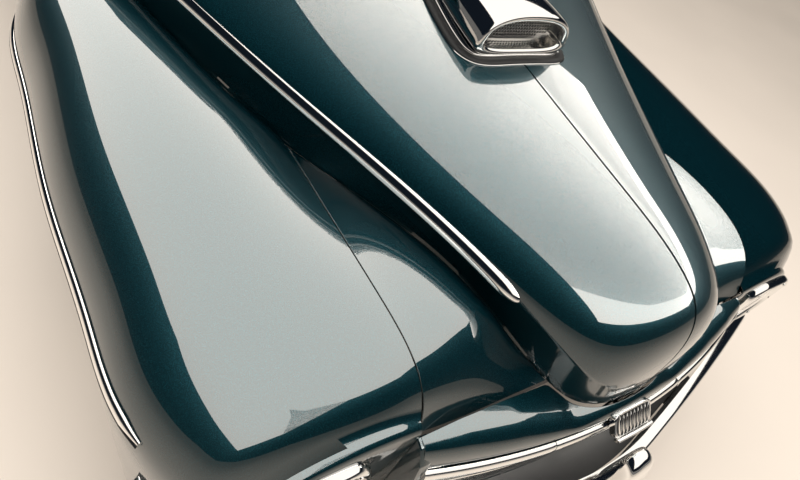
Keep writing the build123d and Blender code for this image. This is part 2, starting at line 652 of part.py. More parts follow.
BEZEL_BACK, BEZEL_DEPTH = X_NOSE - 104.0, 36.0
bezels, lenses = [], []
for side in (1, -1):
    with BuildPart() as bezel:
        with BuildSketch(Plane.YZ.offset(BEZEL_BACK)):
            with Locations((LAMP_Y * side, LAMP_Z)):
                RectangleRounded(LAMP_SIZE, LAMP_SIZE, LAMP_CORNER)
                Circle(LENS_RADIUS, mode=Mode.SUBTRACT)
        extrude(amount=BEZEL_DEPTH)
    bezels.append(bezel)
    with BuildPart() as lens:
        with BuildSketch(Plane.YZ.offset(BEZEL_BACK)):
            with Locations((LAMP_Y * side, LAMP_Z)):
                Circle(LENS_RADIUS - SEAT)
        extrude(amount=24)
        with BuildSketch(Plane.YZ.offset(BEZEL_BACK + 24)):
            with Locations((LAMP_Y * side, LAMP_Z)):
                Circle(LENS_RADIUS - SEAT)
        extrude(amount=12, taper=50)
    lenses.append(lens)
keep(joined(*bezels), "headlamp_bezels")
keep(joined(*lenses), "headlamp_lenses")

# Chassis: two rails with a rise over the rear axle, cross-members and the floor
KICK_UP = 560.0
RAIL_OUTLINE = (
    (RAIL_FRONT, 300.0), (RAIL_FRONT, 400.0), (1250.0, 400.0), (1060.0, RAIL_TOP), (-750.0,
        RAIL_TOP), (-1050.0, KICK_UP),
    (-1650.0, KICK_UP), (-1950.0, 420.0), (RAIL_REAR, 420.0), (RAIL_REAR, 330.0), (-1950.0,
        330.0), (-1650.0, 470.0),
    (-1060.0, 470.0), (-780.0, 220.0), (980.0, 220.0), (1250.0, 300.0),
)
rail = prism_along_y(RAIL_OUTLINE, 8.0, RAIL_Y[0], RAIL_Y[1])
CROSS_MEMBERS = (
    # rear and front limits, underside, top
    (2110.0, 2280.0, 300.0, 380.0), (X_AXLE_FRONT - 70, X_AXLE_FRONT + 70, 300.0, 360.0), (560.0, 640.0,
        230.0, 290.0),
    (-640.0, -560.0, 230.0, 290.0), (-1710.0, -1640.0, 490.0, 540.0), (-2320.0, -2250.0, 340.0, 410.0),
)
crosses = [
    block((rear, front), (-RAIL_Y[0] - 10, RAIL_Y[0] + 10), (low,
        high)) for rear, front, low, high in CROSS_MEMBERS
]
keep(joined(rail, mirrored(rail), *crosses), "chassis_frame")

# Floor: a flat pan with a tunnel, a heel board and a raised floor behind it over the axle
FLOOR_HALF = 740.0
FLOOR_TOP = 329.1                # the side walls stand on it
TUNNEL_HALF = 150.0
TUNNEL_TOP = 470.0
TUNNEL_WALL = 12.0
SEAT_BASE = 484.0
HEEL_X = -500.0
TRUNK_FLOOR = (KICK_UP + SEAT, 580.0)
with BuildPart() as floor_pan:
    with BuildSketch(Plane.YZ.offset(HEEL_X - 18)):
        with BuildLine():
            Polyline(
                (-FLOOR_HALF, FLOOR_Z), (-TUNNEL_HALF, FLOOR_Z), (20 - TUNNEL_HALF, TUNNEL_TOP),
                (TUNNEL_HALF - 20, TUNNEL_TOP), (TUNNEL_HALF, FLOOR_Z), (FLOOR_HALF, FLOOR_Z), (FLOOR_HALF,
                    FLOOR_TOP),
                (TUNNEL_HALF + 8, FLOOR_TOP), (TUNNEL_HALF - 12, TUNNEL_TOP + TUNNEL_WALL),
                (12 - TUNNEL_HALF, TUNNEL_TOP + TUNNEL_WALL), (-TUNNEL_HALF - 8, FLOOR_TOP), (-FLOOR_HALF,
                    FLOOR_TOP),
                close=True,
            )
        make_face()
    extrude(amount=X_COWL - FIREWALL - SEAT - HEEL_X + 18)
TRUNK_OUTLINE = ((HEEL_X, 600.0), (-2150.0, 600.0), (RAIL_REAR, 520.0), (RAIL_REAR, -520.0),
    (-2150.0, -600.0), (HEEL_X, -600.0))
trunk_floor = prism_along_z(TRUNK_OUTLINE, 10.0, *TRUNK_FLOOR)
heel_board = cut(
    block((HEEL_X - 18, HEEL_X), (-600.0, 600.0), (FLOOR_Z, TRUNK_FLOOR[0] + 1)),
    block((HEEL_X - FIREWALL, HEEL_X + FIREWALL), (12 - TUNNEL_HALF, TUNNEL_HALF - 12), (0.0, TUNNEL_TOP)),
)
seat_bases = [
    block((-60.0, 300.0), sorted((165.0 * side, 500.0 * side)), (FLOOR_Z, SEAT_BASE)) for side in (1, -1)
]
keep(joined(floor_pan, trunk_floor, heel_board, *seat_bases), "floor_pan")

# Engine and gearbox as one plain block, the radiator, driveshaft, exhaust and tank
engine = joined(
    block((1250.0, 2000.0), (-170.0, 170.0), (360.0 + SEAT, 800.0)),
    block((800.0, 1250.0), (-110.0, 110.0), (330.0, 455.0)),
)
keep(engine, "engine_block")
keep(block((2120.0, 2190.0), (-260.0, 260.0), (380.0 + SEAT, 716.0)), "radiator")
AXLE_Z = TYRE_RADIUS
keep(bar((798.8, 0, 390.0), (X_AXLE_REAR + 130.8, 0, AXLE_Z), 36.0), "driveshaft")
PIPE_RADIUS, PIPE_Y = 25.0, -260.0
PIPE_Z = 230.0 - SEAT - PIPE_RADIUS      # hung under the cross-members
exhaust = joined(
    bar((1300.0, PIPE_Y, PIPE_Z), (-2450.0, PIPE_Y, PIPE_Z), PIPE_RADIUS),
    bar((0.0, PIPE_Y, PIPE_Z), (-500.0, PIPE_Y, PIPE_Z), 48.0),
)
keep(exhaust, "exhaust")
keep(block((-2240.0, -1760.0), (SEAT - RAIL_Y[0], RAIL_Y[0] - SEAT), (345.0, 489.0)), "fuel_tank")

# Front suspension: arms from the frame to the kingpins, with coil springs between them
ARM_LOW, ARM_HIGH = 250.0, 470.0
arms = []
for side in (1, -1):
    inner, outer = (RAIL_Y[1] + 42) * side, KINGPIN_Y * side
    arms += [
        bar((X_AXLE_FRONT, inner, 320.0), (X_AXLE_FRONT, outer, ARM_LOW), 22.0),
        bar((X_AXLE_FRONT, inner, 430.0), (X_AXLE_FRONT, outer, ARM_HIGH), 16.0),
        block((X_AXLE_FRONT - 60, X_AXLE_FRONT + 60), sorted(((RAIL_Y[1] + SEAT) * side, inner)),
            (300.0, 450.0)),
    ]
keep(joined(*arms), "front_suspension")
rear_axle = joined(
    bar((X_AXLE_REAR, -TRACK_REAR / 2 + 40, AXLE_Z), (X_AXLE_REAR, TRACK_REAR / 2 - 40, AXLE_Z), 38.0),
    bar((X_AXLE_REAR, -TRACK_REAR / 2 - 20, AXLE_Z), (X_AXLE_REAR, TRACK_REAR / 2 + 20, AXLE_Z),
        SPINDLE_RADIUS),
    bar((X_AXLE_REAR - 120, 0, AXLE_Z), (X_AXLE_REAR + 130, 0, AXLE_Z), 120.0),
)
keep(rear_axle, "rear_axle")
SPRING_Y = (490.0, 550.0)
SPRING_EYES = ((-805.0, 300.0), (-1895.0, 400.0))
LEAF_Z = AXLE_Z + 38.0 + SEAT
LEAF_OUTLINE = (
    (-798.0, 290.0), (-1250.0, LEAF_Z), (-1450.0, LEAF_Z), (-1902.0, 390.0), (-1902.0, 408.0), (-1450.0,
        432.0),
    (-1250.0, 432.0), (-798.0, 310.0),
)
leaf = prism_along_y(LEAF_OUTLINE, 3.0, *SPRING_Y)
eyes = [bar((x, RAIL_Y[1] + SEAT, z), (x, SPRING_Y[1] + 5, z), 20.0) for x, z in SPRING_EYES]
spring = joined(leaf, *eyes)
keep(joined(spring, mirrored(spring)), "rear_springs")

# Wheels: a rim with a dished disc and hub; knuckles with a spindle and kingpin bosses
TYRE_PROFILE = (
    (-60.6, RIM_RADIUS + SEAT), (-61.6, 202.3), (-70, 204.4), (-79, 215), (-TYRE_WIDTH / 2,
        245), (-TYRE_WIDTH / 2, 290),
    (-76, 326), (-60, 348), (-30, 358), (0, TYRE_RADIUS), (30, 358), (60, 348), (76, 326), (TYRE_WIDTH / 2,
        290),
    (TYRE_WIDTH / 2, 245), (79, 215), (70, 204.4), (61.6, 202.3), (60.6, RIM_RADIUS + SEAT),
)
RIM_PROFILE = (
    (-70, 204), (-62, 202), (-61, RIM_RADIUS), (61, RIM_RADIUS), (62, 202), (70, 204), (72, 198), (64,
        180), (30, 178), (28, 165),
    (34, 120), (30, HUB_RADIUS + 20), (34, HUB_RADIUS), (34, SPINDLE_RADIUS + BEARING_GAP), (-20,
        SPINDLE_RADIUS + BEARING_GAP),
    (-20, HUB_RADIUS), (14, HUB_RADIUS), (12, 120), (10, 165), (8, 180), (-64, 180), (-72, 198),
)
WHEELS = (
    ("front_left", X_AXLE_FRONT, TRACK_FRONT / 2, 1), ("front_right", X_AXLE_FRONT, -TRACK_FRONT / 2, -1),
    ("rear_left", X_AXLE_REAR, TRACK_REAR / 2, 1), ("rear_right", X_AXLE_REAR, -TRACK_REAR / 2, -1),
)
for name, wheel_x, wheel_y, side in WHEELS:
    keep(ring(wheel_x, wheel_y, AXLE_Z, [(y * side, r) for y, r in TYRE_PROFILE]), f"tyre_{name}")
    keep(ring(wheel_x, wheel_y, AXLE_Z, [(y * side, r) for y, r in RIM_PROFILE]), f"wheel_{name}")
HUB_FACE = TRACK_FRONT / 2 - 22
for name, side in (("left", 1), ("right", -1)):
    knuckle = joined(
        bar((X_AXLE_FRONT, KINGPIN_Y * side, ARM_LOW + 36), (X_AXLE_FRONT, KINGPIN_Y * side, ARM_HIGH - 25),
            20.0),
        bar((X_AXLE_FRONT, KINGPIN_Y * side, AXLE_Z), (X_AXLE_FRONT, (TRACK_FRONT / 2 + 34) * side, AXLE_Z),
            SPINDLE_RADIUS),
        bar((X_AXLE_FRONT, (KINGPIN_Y - 12) * side, AXLE_Z), (X_AXLE_FRONT, (HUB_FACE - 4) * side, AXLE_Z),
            34.0),
    )
    keep(knuckle, f"knuckle_{name}")

# Bumpers: a bowed face bar that wraps round the corners, arms to the frame and a central guard
BUMPER_LOW, BUMPER_HIGH, BUMPER_DEPTH = 330.0, 462.0, 36.0
# Radius and degrees of each bend of a bumper, from the middle outwards
FRONT_BENDS = ((900.0, 12.0), (9707.0, 4.0), (150.0, 74.0))
REAR_BENDS = ((900.0, 6.0), (8832.0, 5.0), (150.0, 79.0))
BUMPER_TAIL = 64.0


def bumper_half(face_x, bends):
    """The left half of a bumper bar, facing forward: arcs in plan with one profile, then a straight end."""
    low, high, depth = BUMPER_LOW, BUMPER_HIGH, BUMPER_DEPTH
    middle = (low + high) / 2
    x, y, heading = face_x, 0.0, 0.0
    pieces = []
    for radius, degrees in (*bends, (0.0, 0.0)):
        centre_x, centre_y = x - radius * cos(radians(heading)), y - radius * sin(radians(heading))
        with BuildPart() as piece:
            with BuildSketch(upright_plane(centre_x, centre_y, heading)):
                with BuildLine():
                    Line((radius - depth, low), (radius - depth, high))
                    Line((radius - depth, high), (radius - 14, high))
                    ThreePointArc((radius - 14, high), (radius, middle), (radius - 14, low))
                    Line((radius - 14, low), (radius - depth, low))
                make_face()
            if radius:
                revolve(axis=Axis((centre_x, centre_y, 0), (0, 0, 1)), revolution_arc=degrees)
            else:
                extrude(amount=-BUMPER_TAIL)
        pieces.append(piece)
        heading += degrees
        x, y = centre_x + radius * cos(radians(heading)), centre_y + radius * sin(radians(heading))
    return joined(*pieces)


FRONT_FACE = X_FRONT - 26.0
front_half = bumper_half(FRONT_FACE, FRONT_BENDS)
rear_half = bumper_half(LENGTH / 2, REAR_BENDS)
with BuildPart() as rear_left_half:
    mirror(rear_half.part, about=Plane.YZ)
front_arms = [
    block((RAIL_FRONT + SEAT, FRONT_FACE - 120), sorted((RAIL_Y[0] * s, RAIL_Y[1] * s)), ARM_Z) for s in (1,
        -1)
]
rear_arms = [
    block((X_TAIL + 120, RAIL_REAR - SEAT), sorted((RAIL_Y[0] * s, RAIL_Y[1] * s)), ARM_Z) for s in (1, -1)
]
GUARD_HALF, GUARD_TOP, GUARD_LOW = 42.0, 590.0, 318.0
with BuildPart() as front_guard:
    with BuildSketch(Plane.XZ.offset(-GUARD_HALF)):
        with BuildLine():
            Polyline((FRONT_FACE - 30, GUARD_LOW), (FRONT_FACE - 34, GUARD_TOP - 24),
                (FRONT_FACE - 22, GUARD_TOP), (FRONT_FACE, GUARD_TOP - 8),
                     (FRONT_FACE + 20, GUARD_TOP - 50), (X_FRONT, 440.0), (FRONT_FACE + 18,
                         GUARD_LOW + 10), (FRONT_FACE, GUARD_LOW), close=True)
        make_face()
    extrude(amount=2 * GUARD_HALF)
    fillet(front_guard.edges().filter_by(Axis.Y).group_by(Axis.X)[-1], 12)
keep(joined(front_half, mirrored(front_half), *front_arms, front_guard), "front_bumper")
keep(joined(rear_left_half, mirrored(rear_left_half), *rear_arms), "rear_bumper")

# Tail lamps and cabin furniture
TAIL_LAMP_Y, TAIL_LAMP_Z = 618.0, 592.0
TAIL_LAMP_X = (REAR_FENDER_ROWS[-1][0] + 1 - SEAT, -2488.0)
lamps = [
    bar((TAIL_LAMP_X[0], TAIL_LAMP_Y * s, TAIL_LAMP_Z), (TAIL_LAMP_X[1], TAIL_LAMP_Y * s, TAIL_LAMP_Z),
        46.0) for s in (1, -1)
]
keep(joined(*lamps), "tail_lamps")


def bench(x_front, base_z, cushion_z, depth, back_top, half_width):
    """A bench: a cushion on its base and a leaning back, as one soft solid."""
    with BuildPart() as body:
        with BuildSketch(Plane.XZ.offset(-half_width)):
            with BuildLine():
                Polyline((x_front, base_z), (x_front, cushion_z), (x_front - depth + 40, cushion_z - 30),
                    (x_front - depth - 90, back_top),
                         (x_front - depth - 210, back_top), (x_front - depth - 140, base_z), close=True)
            make_face()
        extrude(amount=2 * half_width)
    return body


keep(bench(345.0, SEAT_BASE + SEAT, 720.0, 485.0, 1130.0, 640.0), "front_seat")
keep(bench(-505.0, TRUNK_FLOOR[1] + SEAT, 730.0, 420.0, 1080.0, 560.0), "rear_seat")
DASH_HALF = 725.0
with BuildPart() as dashboard:
    with BuildSketch(Plane.XZ.offset(-DASH_HALF)):
        with BuildLine():
            Polyline(
                (X_COWL - FIREWALL - SEAT, 880.0), (X_COWL - FIREWALL - SEAT, 925.0), (900.0,
                    935.0), (770.0, 940.0), (735.0, 905.0),
                (745.0, 800.0), (800.0, 760.0), (900.0, 760.0), (900.0, 880.0), close=True,
            )
        make_face()
    extrude(amount=2 * DASH_HALF)
keep(dashboard, "dashboard")
WHEEL_CENTRE = (480.0, 380.0, 925.0)
COLUMN_FOOT = (1007.5, 380.0, 586.6)
column_run = Vector(*COLUMN_FOOT) - Vector(*WHEEL_CENTRE)
column_dir = column_run.normalized()
hub_end = Vector(*WHEEL_CENTRE) + column_dir * 26
keep(bar(tuple(hub_end + column_dir * 0.5), COLUMN_FOOT, 22.0), "steering_column")
with BuildPart(Plane(origin=WHEEL_CENTRE, z_dir=column_dir)) as steering_wheel:
    Torus(210.0, 13.0)
    Cylinder(30.0, 24.0)
    with PolarLocations(0, 3):
        Box(202.0, 22.0, 10.0, align=(Align.MIN, Align.CENTER, Align.CENTER))
keep(steering_wheel, "steering_wheel")
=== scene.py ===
"""Looks for a late-1940s two-door fastback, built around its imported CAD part."""
import json
from math import atan2, cos, hypot, pi, radians, sin, sqrt, tan

import bmesh
import bpy
import numpy as np
from mathutils import Matrix, Vector
from mathutils.geometry import delaunay_2d_cdt
from mathutils.kdtree import KDTree


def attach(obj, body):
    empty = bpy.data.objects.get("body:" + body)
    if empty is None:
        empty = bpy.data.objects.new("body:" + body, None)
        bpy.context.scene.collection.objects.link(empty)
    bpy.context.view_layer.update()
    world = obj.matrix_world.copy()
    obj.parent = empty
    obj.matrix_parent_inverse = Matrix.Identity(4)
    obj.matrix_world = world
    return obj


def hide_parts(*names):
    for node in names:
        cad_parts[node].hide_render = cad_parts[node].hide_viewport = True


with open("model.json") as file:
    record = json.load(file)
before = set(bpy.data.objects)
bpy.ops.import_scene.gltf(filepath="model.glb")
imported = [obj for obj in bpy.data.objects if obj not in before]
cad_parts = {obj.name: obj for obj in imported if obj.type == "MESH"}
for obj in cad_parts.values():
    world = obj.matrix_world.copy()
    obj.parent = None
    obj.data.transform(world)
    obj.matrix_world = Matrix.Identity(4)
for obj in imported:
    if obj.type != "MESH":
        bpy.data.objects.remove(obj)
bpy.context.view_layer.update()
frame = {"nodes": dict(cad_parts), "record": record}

MM = 0.001
NOSE = 2450.0                    # x of the hood's front
BAR_FACE = 2485.0                # face of the grille's top bar on the centreline
BAR_RADIUS = 1760.0
AXLE_FRONT = 1700.0
TYRE_RADIUS = 360.0
WHEEL_PLACES = (("front", AXLE_FRONT, 730.0), ("rear", -1350.0, 750.0))
SIDES = (("left", 1), ("right", -1))

# Materials

class Net:
    """A shader node group with short ways to add and wire nodes."""

    def __init__(self, name, inputs, outputs):
        self.tree = bpy.data.node_groups.new(name, "ShaderNodeTree")
        for label, kind, value in inputs:
            socket = self.tree.interface.new_socket(label, in_out="INPUT", socket_type=kind)
            socket.default_value = value
        for label, kind in outputs:
            self.tree.interface.new_socket(label, in_out="OUTPUT", socket_type=kind)
        self.given = self.tree.nodes.new("NodeGroupInput").outputs
        self.result = self.tree.nodes.new("NodeGroupOutput").inputs

    def node(self, kind, wires=(), **settings):
        """Add a node, set what is given and wire its inputs from sockets or values."""
        made = self.tree.nodes.new(kind)
        for key, value in settings.items():
            setattr(made, key, value)
        for index, source in dict(wires).items():
            if hasattr(source, "is_output"):
                self.tree.links.new(source, made.inputs[index])
            else:
                made.inputs[index].default_value = source
        return made

    def math(self, operation, first, second=0.0, third=0.0):
        """The result of one math node."""
        return self.node("ShaderNodeMath", {0: first, 1: second, 2: third}, operation=operation).outputs[0]

    def noise(self, scale, detail=2.0, vector=None):
        """A noise value on object coordinates."""
        place = vector or self.node("ShaderNodeTexCoord").outputs["Object"]
        wires = {"Vector": place, "Scale": scale, "Detail": detail}
        return self.node("ShaderNodeTexNoise", wires).outputs[0]

    def tinted(self, color, amount):
        """A colour made lighter or darker by a factor around one."""
        wires = {"Value": amount, "Color": color}
        return self.node("ShaderNodeHueSaturation", wires).outputs[0]

    def give(self, **sources):
        """Wire sockets to the group's outputs."""
        for label, source in sources.items():
            self.tree.links.new(source, self.result[label])


COLOR, FLOAT = "NodeSocketColor", "NodeSocketFloat"
GREY = (0.5, 0.5, 0.5, 1.0)

# Grain: mottled colour, uneven gloss and a fine height, for every plain material
grain = Net(
    "grain",
    (("Color", COLOR, GREY), ("Spread", FLOAT, 0.1), ("Scale", FLOAT, 40.0), ("Low", FLOAT, 0.3),
     ("High", FLOAT, 0.4)),
    (("Color", COLOR), ("Roughness", FLOAT), ("Height", FLOAT)),
)
broad = grain.noise(grain.given["Scale"], 4.0)
fine = grain.noise(grain.math("MULTIPLY", grain.given["Scale"], 12.0), 3.0)
mottle = grain.math("MULTIPLY_ADD", grain.math("SUBTRACT", broad, 0.5), grain.given["Spread"], 1.0)
gloss_span = grain.math("SUBTRACT", grain.given["High"], grain.given["Low"])
grain.give(
    Color=grain.tinted(grain.given["Color"], mottle),
    Roughness=grain.math("MULTIPLY_ADD", broad, gloss_span, grain.given["Low"]),
    Height=grain.math("MULTIPLY_ADD", fine, 0.5, broad),
)

# Flake paint: fine metal flakes under the coat, and a slow unevenness of the coat itself
flake = Net(
    "flake",
    (("Color", COLOR, GREY), ("Glint", COLOR, GREY)),
    (("Color", COLOR), ("Roughness", FLOAT), ("Height", FLOAT)),
)
place = flake.node("ShaderNodeTexCoord").outputs["Object"]
cells = flake.node("ShaderNodeTexVoronoi", {"Vector": place, "Scale": 1400.0}).outputs["Color"]
spark = flake.node("ShaderNodeSeparateColor", {0: cells}).outputs[0]
spark = flake.math("POWER", spark, 6.0)
drift = flake.noise(2.2, 3.0)
blend = {0: spark, 6: flake.given["Color"], 7: flake.given["Glint"]}
mixed = flake.node("ShaderNodeMix", blend, data_type="RGBA")
flake.give(
    Color=flake.tinted(mixed.outputs[2], flake.math("MULTIPLY_ADD", drift, 0.16, 0.92)),
    Roughness=flake.math("MULTIPLY_ADD", drift, 0.1, 0.3),
    Height=flake.noise(210.0, 2.0),
)

# Dust: a thin film that dulls the coat a little in soft patches
dust = Net("dust", (("Low", FLOAT, 0.01), ("High", FLOAT, 0.05)), (("Roughness", FLOAT),))
film = dust.math("POWER", dust.noise(6.0, 5.0), 3.0)
span = dust.math("SUBTRACT", dust.given["High"], dust.given["Low"])
dust.give(Roughness=dust.math("MULTIPLY_ADD", film, span, dust.given["Low"]))


def material(name, color, group=grain, bump=0.0, film=None, shader=(), **inputs):
    """A Principled material whose colour, roughness and height come from a shared group."""
    made = bpy.data.materials.new(name)
    made.use_nodes = True
    nodes, links = made.node_tree.nodes, made.node_tree.links
    principled = nodes["Principled BSDF"]
    shared = nodes.new("ShaderNodeGroup")
    shared.node_tree = group.tree
    shared.inputs["Color"].default_value = (*color, 1.0)
    for label, value in inputs.items():
        shared.inputs[label].default_value = value
    links.new(shared.outputs["Color"], principled.inputs["Base Color"])
    links.new(shared.outputs["Roughness"], principled.inputs["Roughness"])
    for label, value in dict(shader).items():
        principled.inputs[label].default_value = value
    if film:
        veil = nodes.new("ShaderNodeGroup")
        veil.node_tree = dust.tree
        veil.inputs["Low"].default_value, veil.inputs["High"].default_value = film
        links.new(veil.outputs["Roughness"], principled.inputs["Coat Roughness"])
    if bump:
        relief = nodes.new("ShaderNodeBump")
        relief.inputs["Strength"].default_value = 1.0
        relief.inputs["Distance"].default_value = bump
        links.new(shared.outputs["Height"], relief.inputs["Height"])
        links.new(relief.outputs["Normal"], principled.inputs["Normal"])
    return made


def paint(name, color, glint):
    """A glossy car paint: a dark flake base under a clear coat."""
    shader = {"Metallic": 0.5, "Coat Weight": 1.0, "Coat IOR": 1.66, "Specular IOR Level": 0.1}
    return material(name, color, flake, 0.0, (0.012, 0.05), shader, Glint=(*glint, 1.0))


SOCKETS = {"metal": "Metallic", "coat": "Coat Weight", "through": "Transmission Weight", "ior": "IOR"}


def plain(name, color, low, high, spread=0.1, scale=40.0, bump=0.0, **shader):
    """A grained material between two roughness values."""
    given = {SOCKETS[label]: value for label, value in shader.items()}
    return material(name, color, grain, bump, None, given, Low=low, High=high, Spread=spread, Scale=scale)


PAINT = paint("teal_paint", (0.0006, 0.016, 0.022), (0.002, 0.04, 0.05))
CHROME = plain("chrome", (0.86, 0.86, 0.85), 0.03, 0.09, 0.05, 9.0, metal=1.0)
SCREEN = plain("punched_screen", (0.50, 0.49, 0.47), 0.18, 0.3, scale=60.0, metal=1.0)
CAST = plain("cast_metal", (0.10, 0.10, 0.10), 0.45, 0.65, 0.5, bump=0.0006, metal=0.7)
STEEL = plain("worn_steel", (0.30, 0.28, 0.26), 0.35, 0.6, 0.5, 18.0, metal=0.9)
IRON = plain("black_iron", (0.018, 0.018, 0.019), 0.4, 0.65, 0.6, 14.0, 0.0005)
RUBBER = plain("black_rubber", (0.012, 0.012, 0.012), 0.42, 0.62, 0.3, bump=0.0002)
TREAD = plain("tyre_rubber", (0.016, 0.016, 0.017), 0.6, 0.8, 0.5, 30.0, 0.0004)
WALL_WHITE = plain("white_rubber", (0.62, 0.61, 0.57), 0.45, 0.6, 0.14, 24.0)
# Near-black: painted shade in gaps, recesses and hollows (badge recess, front apron, hood seam, scoop
# backing and pocket), and the real black of dial marks, moulding inlays and seat plinths
DARK = plain("dark_gap", (0.004, 0.005, 0.006), 0.5, 0.7)
GLASS = plain("window_glass", (0.86, 0.93, 0.90), 0.0, 0.01, 0.0, through=1.0, ior=1.45, metal=0.0)
LENS = plain("lamp_glass", (0.95, 0.96, 0.95), 0.02, 0.05, 0.0, through=1.0, ior=1.5, metal=0.0)
RED = plain("red_lens", (0.42, 0.008, 0.006), 0.05, 0.12, through=0.45, ior=1.49, coat=0.6, metal=0.0)
CLOTH = plain("seat_cloth", (0.15, 0.14, 0.125), 0.75, 0.95, 0.3, 90.0, 0.0006)
CARPET = plain("carpet", (0.05, 0.055, 0.058), 0.9, 1.0, 0.7, 160.0, 0.002)
LINING = plain("lining", (0.30, 0.28, 0.25), 0.7, 0.85, 0.12, 120.0, 0.0004)
DASH = plain("dash_enamel", (0.006, 0.045, 0.055), 0.12, 0.25, coat=0.7)
IVORY = plain("ivory_plastic", (0.62, 0.56, 0.42), 0.18, 0.3, 0.06, coat=0.5)
NEEDLE = plain("needle_red", (0.45, 0.02, 0.01), 0.3, 0.4)
PLATE = plain("blank_plate", (0.55, 0.55, 0.50), 0.3, 0.45, 0.1)
FLOOR = plain("studio_floor", (0.80, 0.70, 0.60), 0.5, 0.7, 0.06, 1.4)

# Curves and surfaces, in millimetres

def natural(knots, values, at):
    """A natural cubic spline through rows of values."""
    knots, values, at = np.asarray(knots, float), np.asarray(values, float), np.asarray(at, float)
    count = len(knots)
    step = np.diff(knots)
    matrix = np.eye(count)
    right = np.zeros_like(values)
    for i in range(1, count - 1):
        matrix[i, i - 1:i + 2] = step[i - 1], 2 * (step[i - 1] + step[i]), step[i]
        right[i] = 6 * ((values[i + 1] - values[i]) / step[i] - (values[i] - values[i - 1]) / step[i - 1])
    curl = np.linalg.solve(matrix, right.reshape(count, -1)).reshape(values.shape)
    i = np.clip(np.searchsorted(knots, at) - 1, 0, count - 2)
    shape = (-1,) + (1,) * (values.ndim - 1)
    h = step[i].reshape(shape)
    after = (at - knots[i]).reshape(shape)
    before = (knots[i + 1] - at).reshape(shape)
    cubic = (curl[i] * before ** 3 + curl[i + 1] * after ** 3) / (6 * h)
    first = (values[i] / h - curl[i] * h / 6) * before
    return cubic + first + (values[i + 1] / h - curl[i + 1] * h / 6) * after


def rows_at(table, stations):
    """Smooth rows of a table at stations of its first column."""
    table = np.asarray(table, float)
    chord = np.concatenate(([0.0], np.cumsum(np.linalg.norm(np.diff(table, axis=0), axis=1))))
    dense = np.linspace(0, chord[-1], 4000)
    first = natural(chord, table[:, 0], dense)
    if first[-1] < first[0]:
        dense, first = dense[::-1], first[::-1]
    along = np.interp(stations, np.maximum.accumulate(first), dense)
    rows = natural(chord, table, along)
    rows[:, 0] = stations
    return rows


def even(line, count, power=1.0):
    """Points at even steps along a polyline."""
    line = np.asarray(line, float)
    run = np.concatenate(([0.0], np.cumsum(np.linalg.norm(np.diff(line, axis=0), axis=1))))
    at = np.linspace(0, 1, count) ** power * run[-1]
    return np.stack([np.interp(at, run, line[:, k]) for k in range(line.shape[1])], axis=1)


def arc(center, radii, start, end, count=60):
    """Points on an ellipse in (y, z), angles in degrees."""
    turn = np.radians(np.linspace(start, end, count))
    return np.stack([center[0] + radii[0] * np.cos(turn), center[1] + radii[1] * np.sin(turn)], axis=1)


def softened(line, passes):
    """A polyline of even steps with its curvature spread out, ends kept."""
    line = line.copy()
    for _ in range(passes):
        line[1:-1] += (line[:-2] + line[2:] - 2 * line[1:-1]) / 4
    return line


def stations(low, high, step, ends=()):
    """Even stations, closer together near the given ends."""
    count = max(2, int(round((high - low) / step)) + 1)
    near = [e + s * r for e in ends for s in (-1, 1) for r in (0.4, 1.6, 3.6, 6.4, 9.5)]
    every = np.concatenate([np.linspace(low, high, count), near, ends])
    every = np.unique(np.clip(every, low, high))
    kept = [every[0]]
    for value in every[1:]:
        if value - kept[-1] > 0.35:
            kept.append(value)
    kept[-1] = high
    return np.array(kept)


def unit(ways):
    """Vectors at length one."""
    ways = np.asarray(ways, float)
    return ways / np.linalg.norm(ways, axis=-1, keepdims=True)


def bend(start, middle, end, count):
    """Points of a curve between two ends that leans towards a middle point."""
    t = np.linspace(0, 1, count)[:, None]
    start, middle, end = (np.asarray(spot, float) for spot in (start, middle, end))
    return (1 - t) ** 2 * start + 2 * t * (1 - t) * middle + t ** 2 * end


def smooth_step(t):
    """A share from 0 to 1 that starts and ends level."""
    t = np.clip(t, 0, 1)
    return t * t * (3 - 2 * t)


def chained(*runs):
    """Runs of numbers, each of which starts where the one before it ends."""
    return np.concatenate([run[:-1] for run in runs[:-1]] + [runs[-1]])


def at_x(x, line):
    """Points (y, z) of a section, set at a place along the car."""
    return np.column_stack([np.full(len(line), x), line])


def at_y(y, line):
    """Points (x, z) of a section, set at a place across the car."""
    return np.column_stack([line[:, 0], np.full(len(line), y), line[:, 1]])


def end_taper(count, steps, least):
    """Scales that shrink a bar over its last few rings at both ends."""
    rank = np.arange(count)
    return np.minimum(rank, rank[::-1]).clip(0, steps) / steps * (1 - least) + least


def grid_faces(rows, columns, closed=False):
    """Quads of a grid of points."""
    last = columns if closed else columns - 1
    faces = []
    for i in range(rows - 1):
        for j in range(last):
            k = (j + 1) % columns
            faces.append((i * columns + j, i * columns + k, (i + 1) * columns + k, (i + 1) * columns + j))
    return faces


def mesh_object(name, points, faces, finish, sharp=38.0):
    """A smooth mesh object from points in mm."""
    mesh = bpy.data.meshes.new(name)
    mesh.from_pydata((np.asarray(points, float) * MM).tolist(), [], [tuple(f) for f in faces])
    mesh.validate()
    made = bpy.data.objects.new(name, mesh)
    bpy.context.scene.collection.objects.link(made)
    mesh.materials.append(finish)
    mesh.shade_smooth()
    mesh.set_sharp_from_angle(angle=radians(sharp))
    return made


def baked(made, sharp=38.0):
    """Turn an object's modifiers into its mesh."""
    graph = bpy.context.evaluated_depsgraph_get()
    mesh = bpy.data.meshes.new_from_object(made.evaluated_get(graph))
    made.modifiers.clear()
    made.data = mesh
    mesh.shade_smooth()
    mesh.set_sharp_from_angle(angle=radians(sharp))
    return made


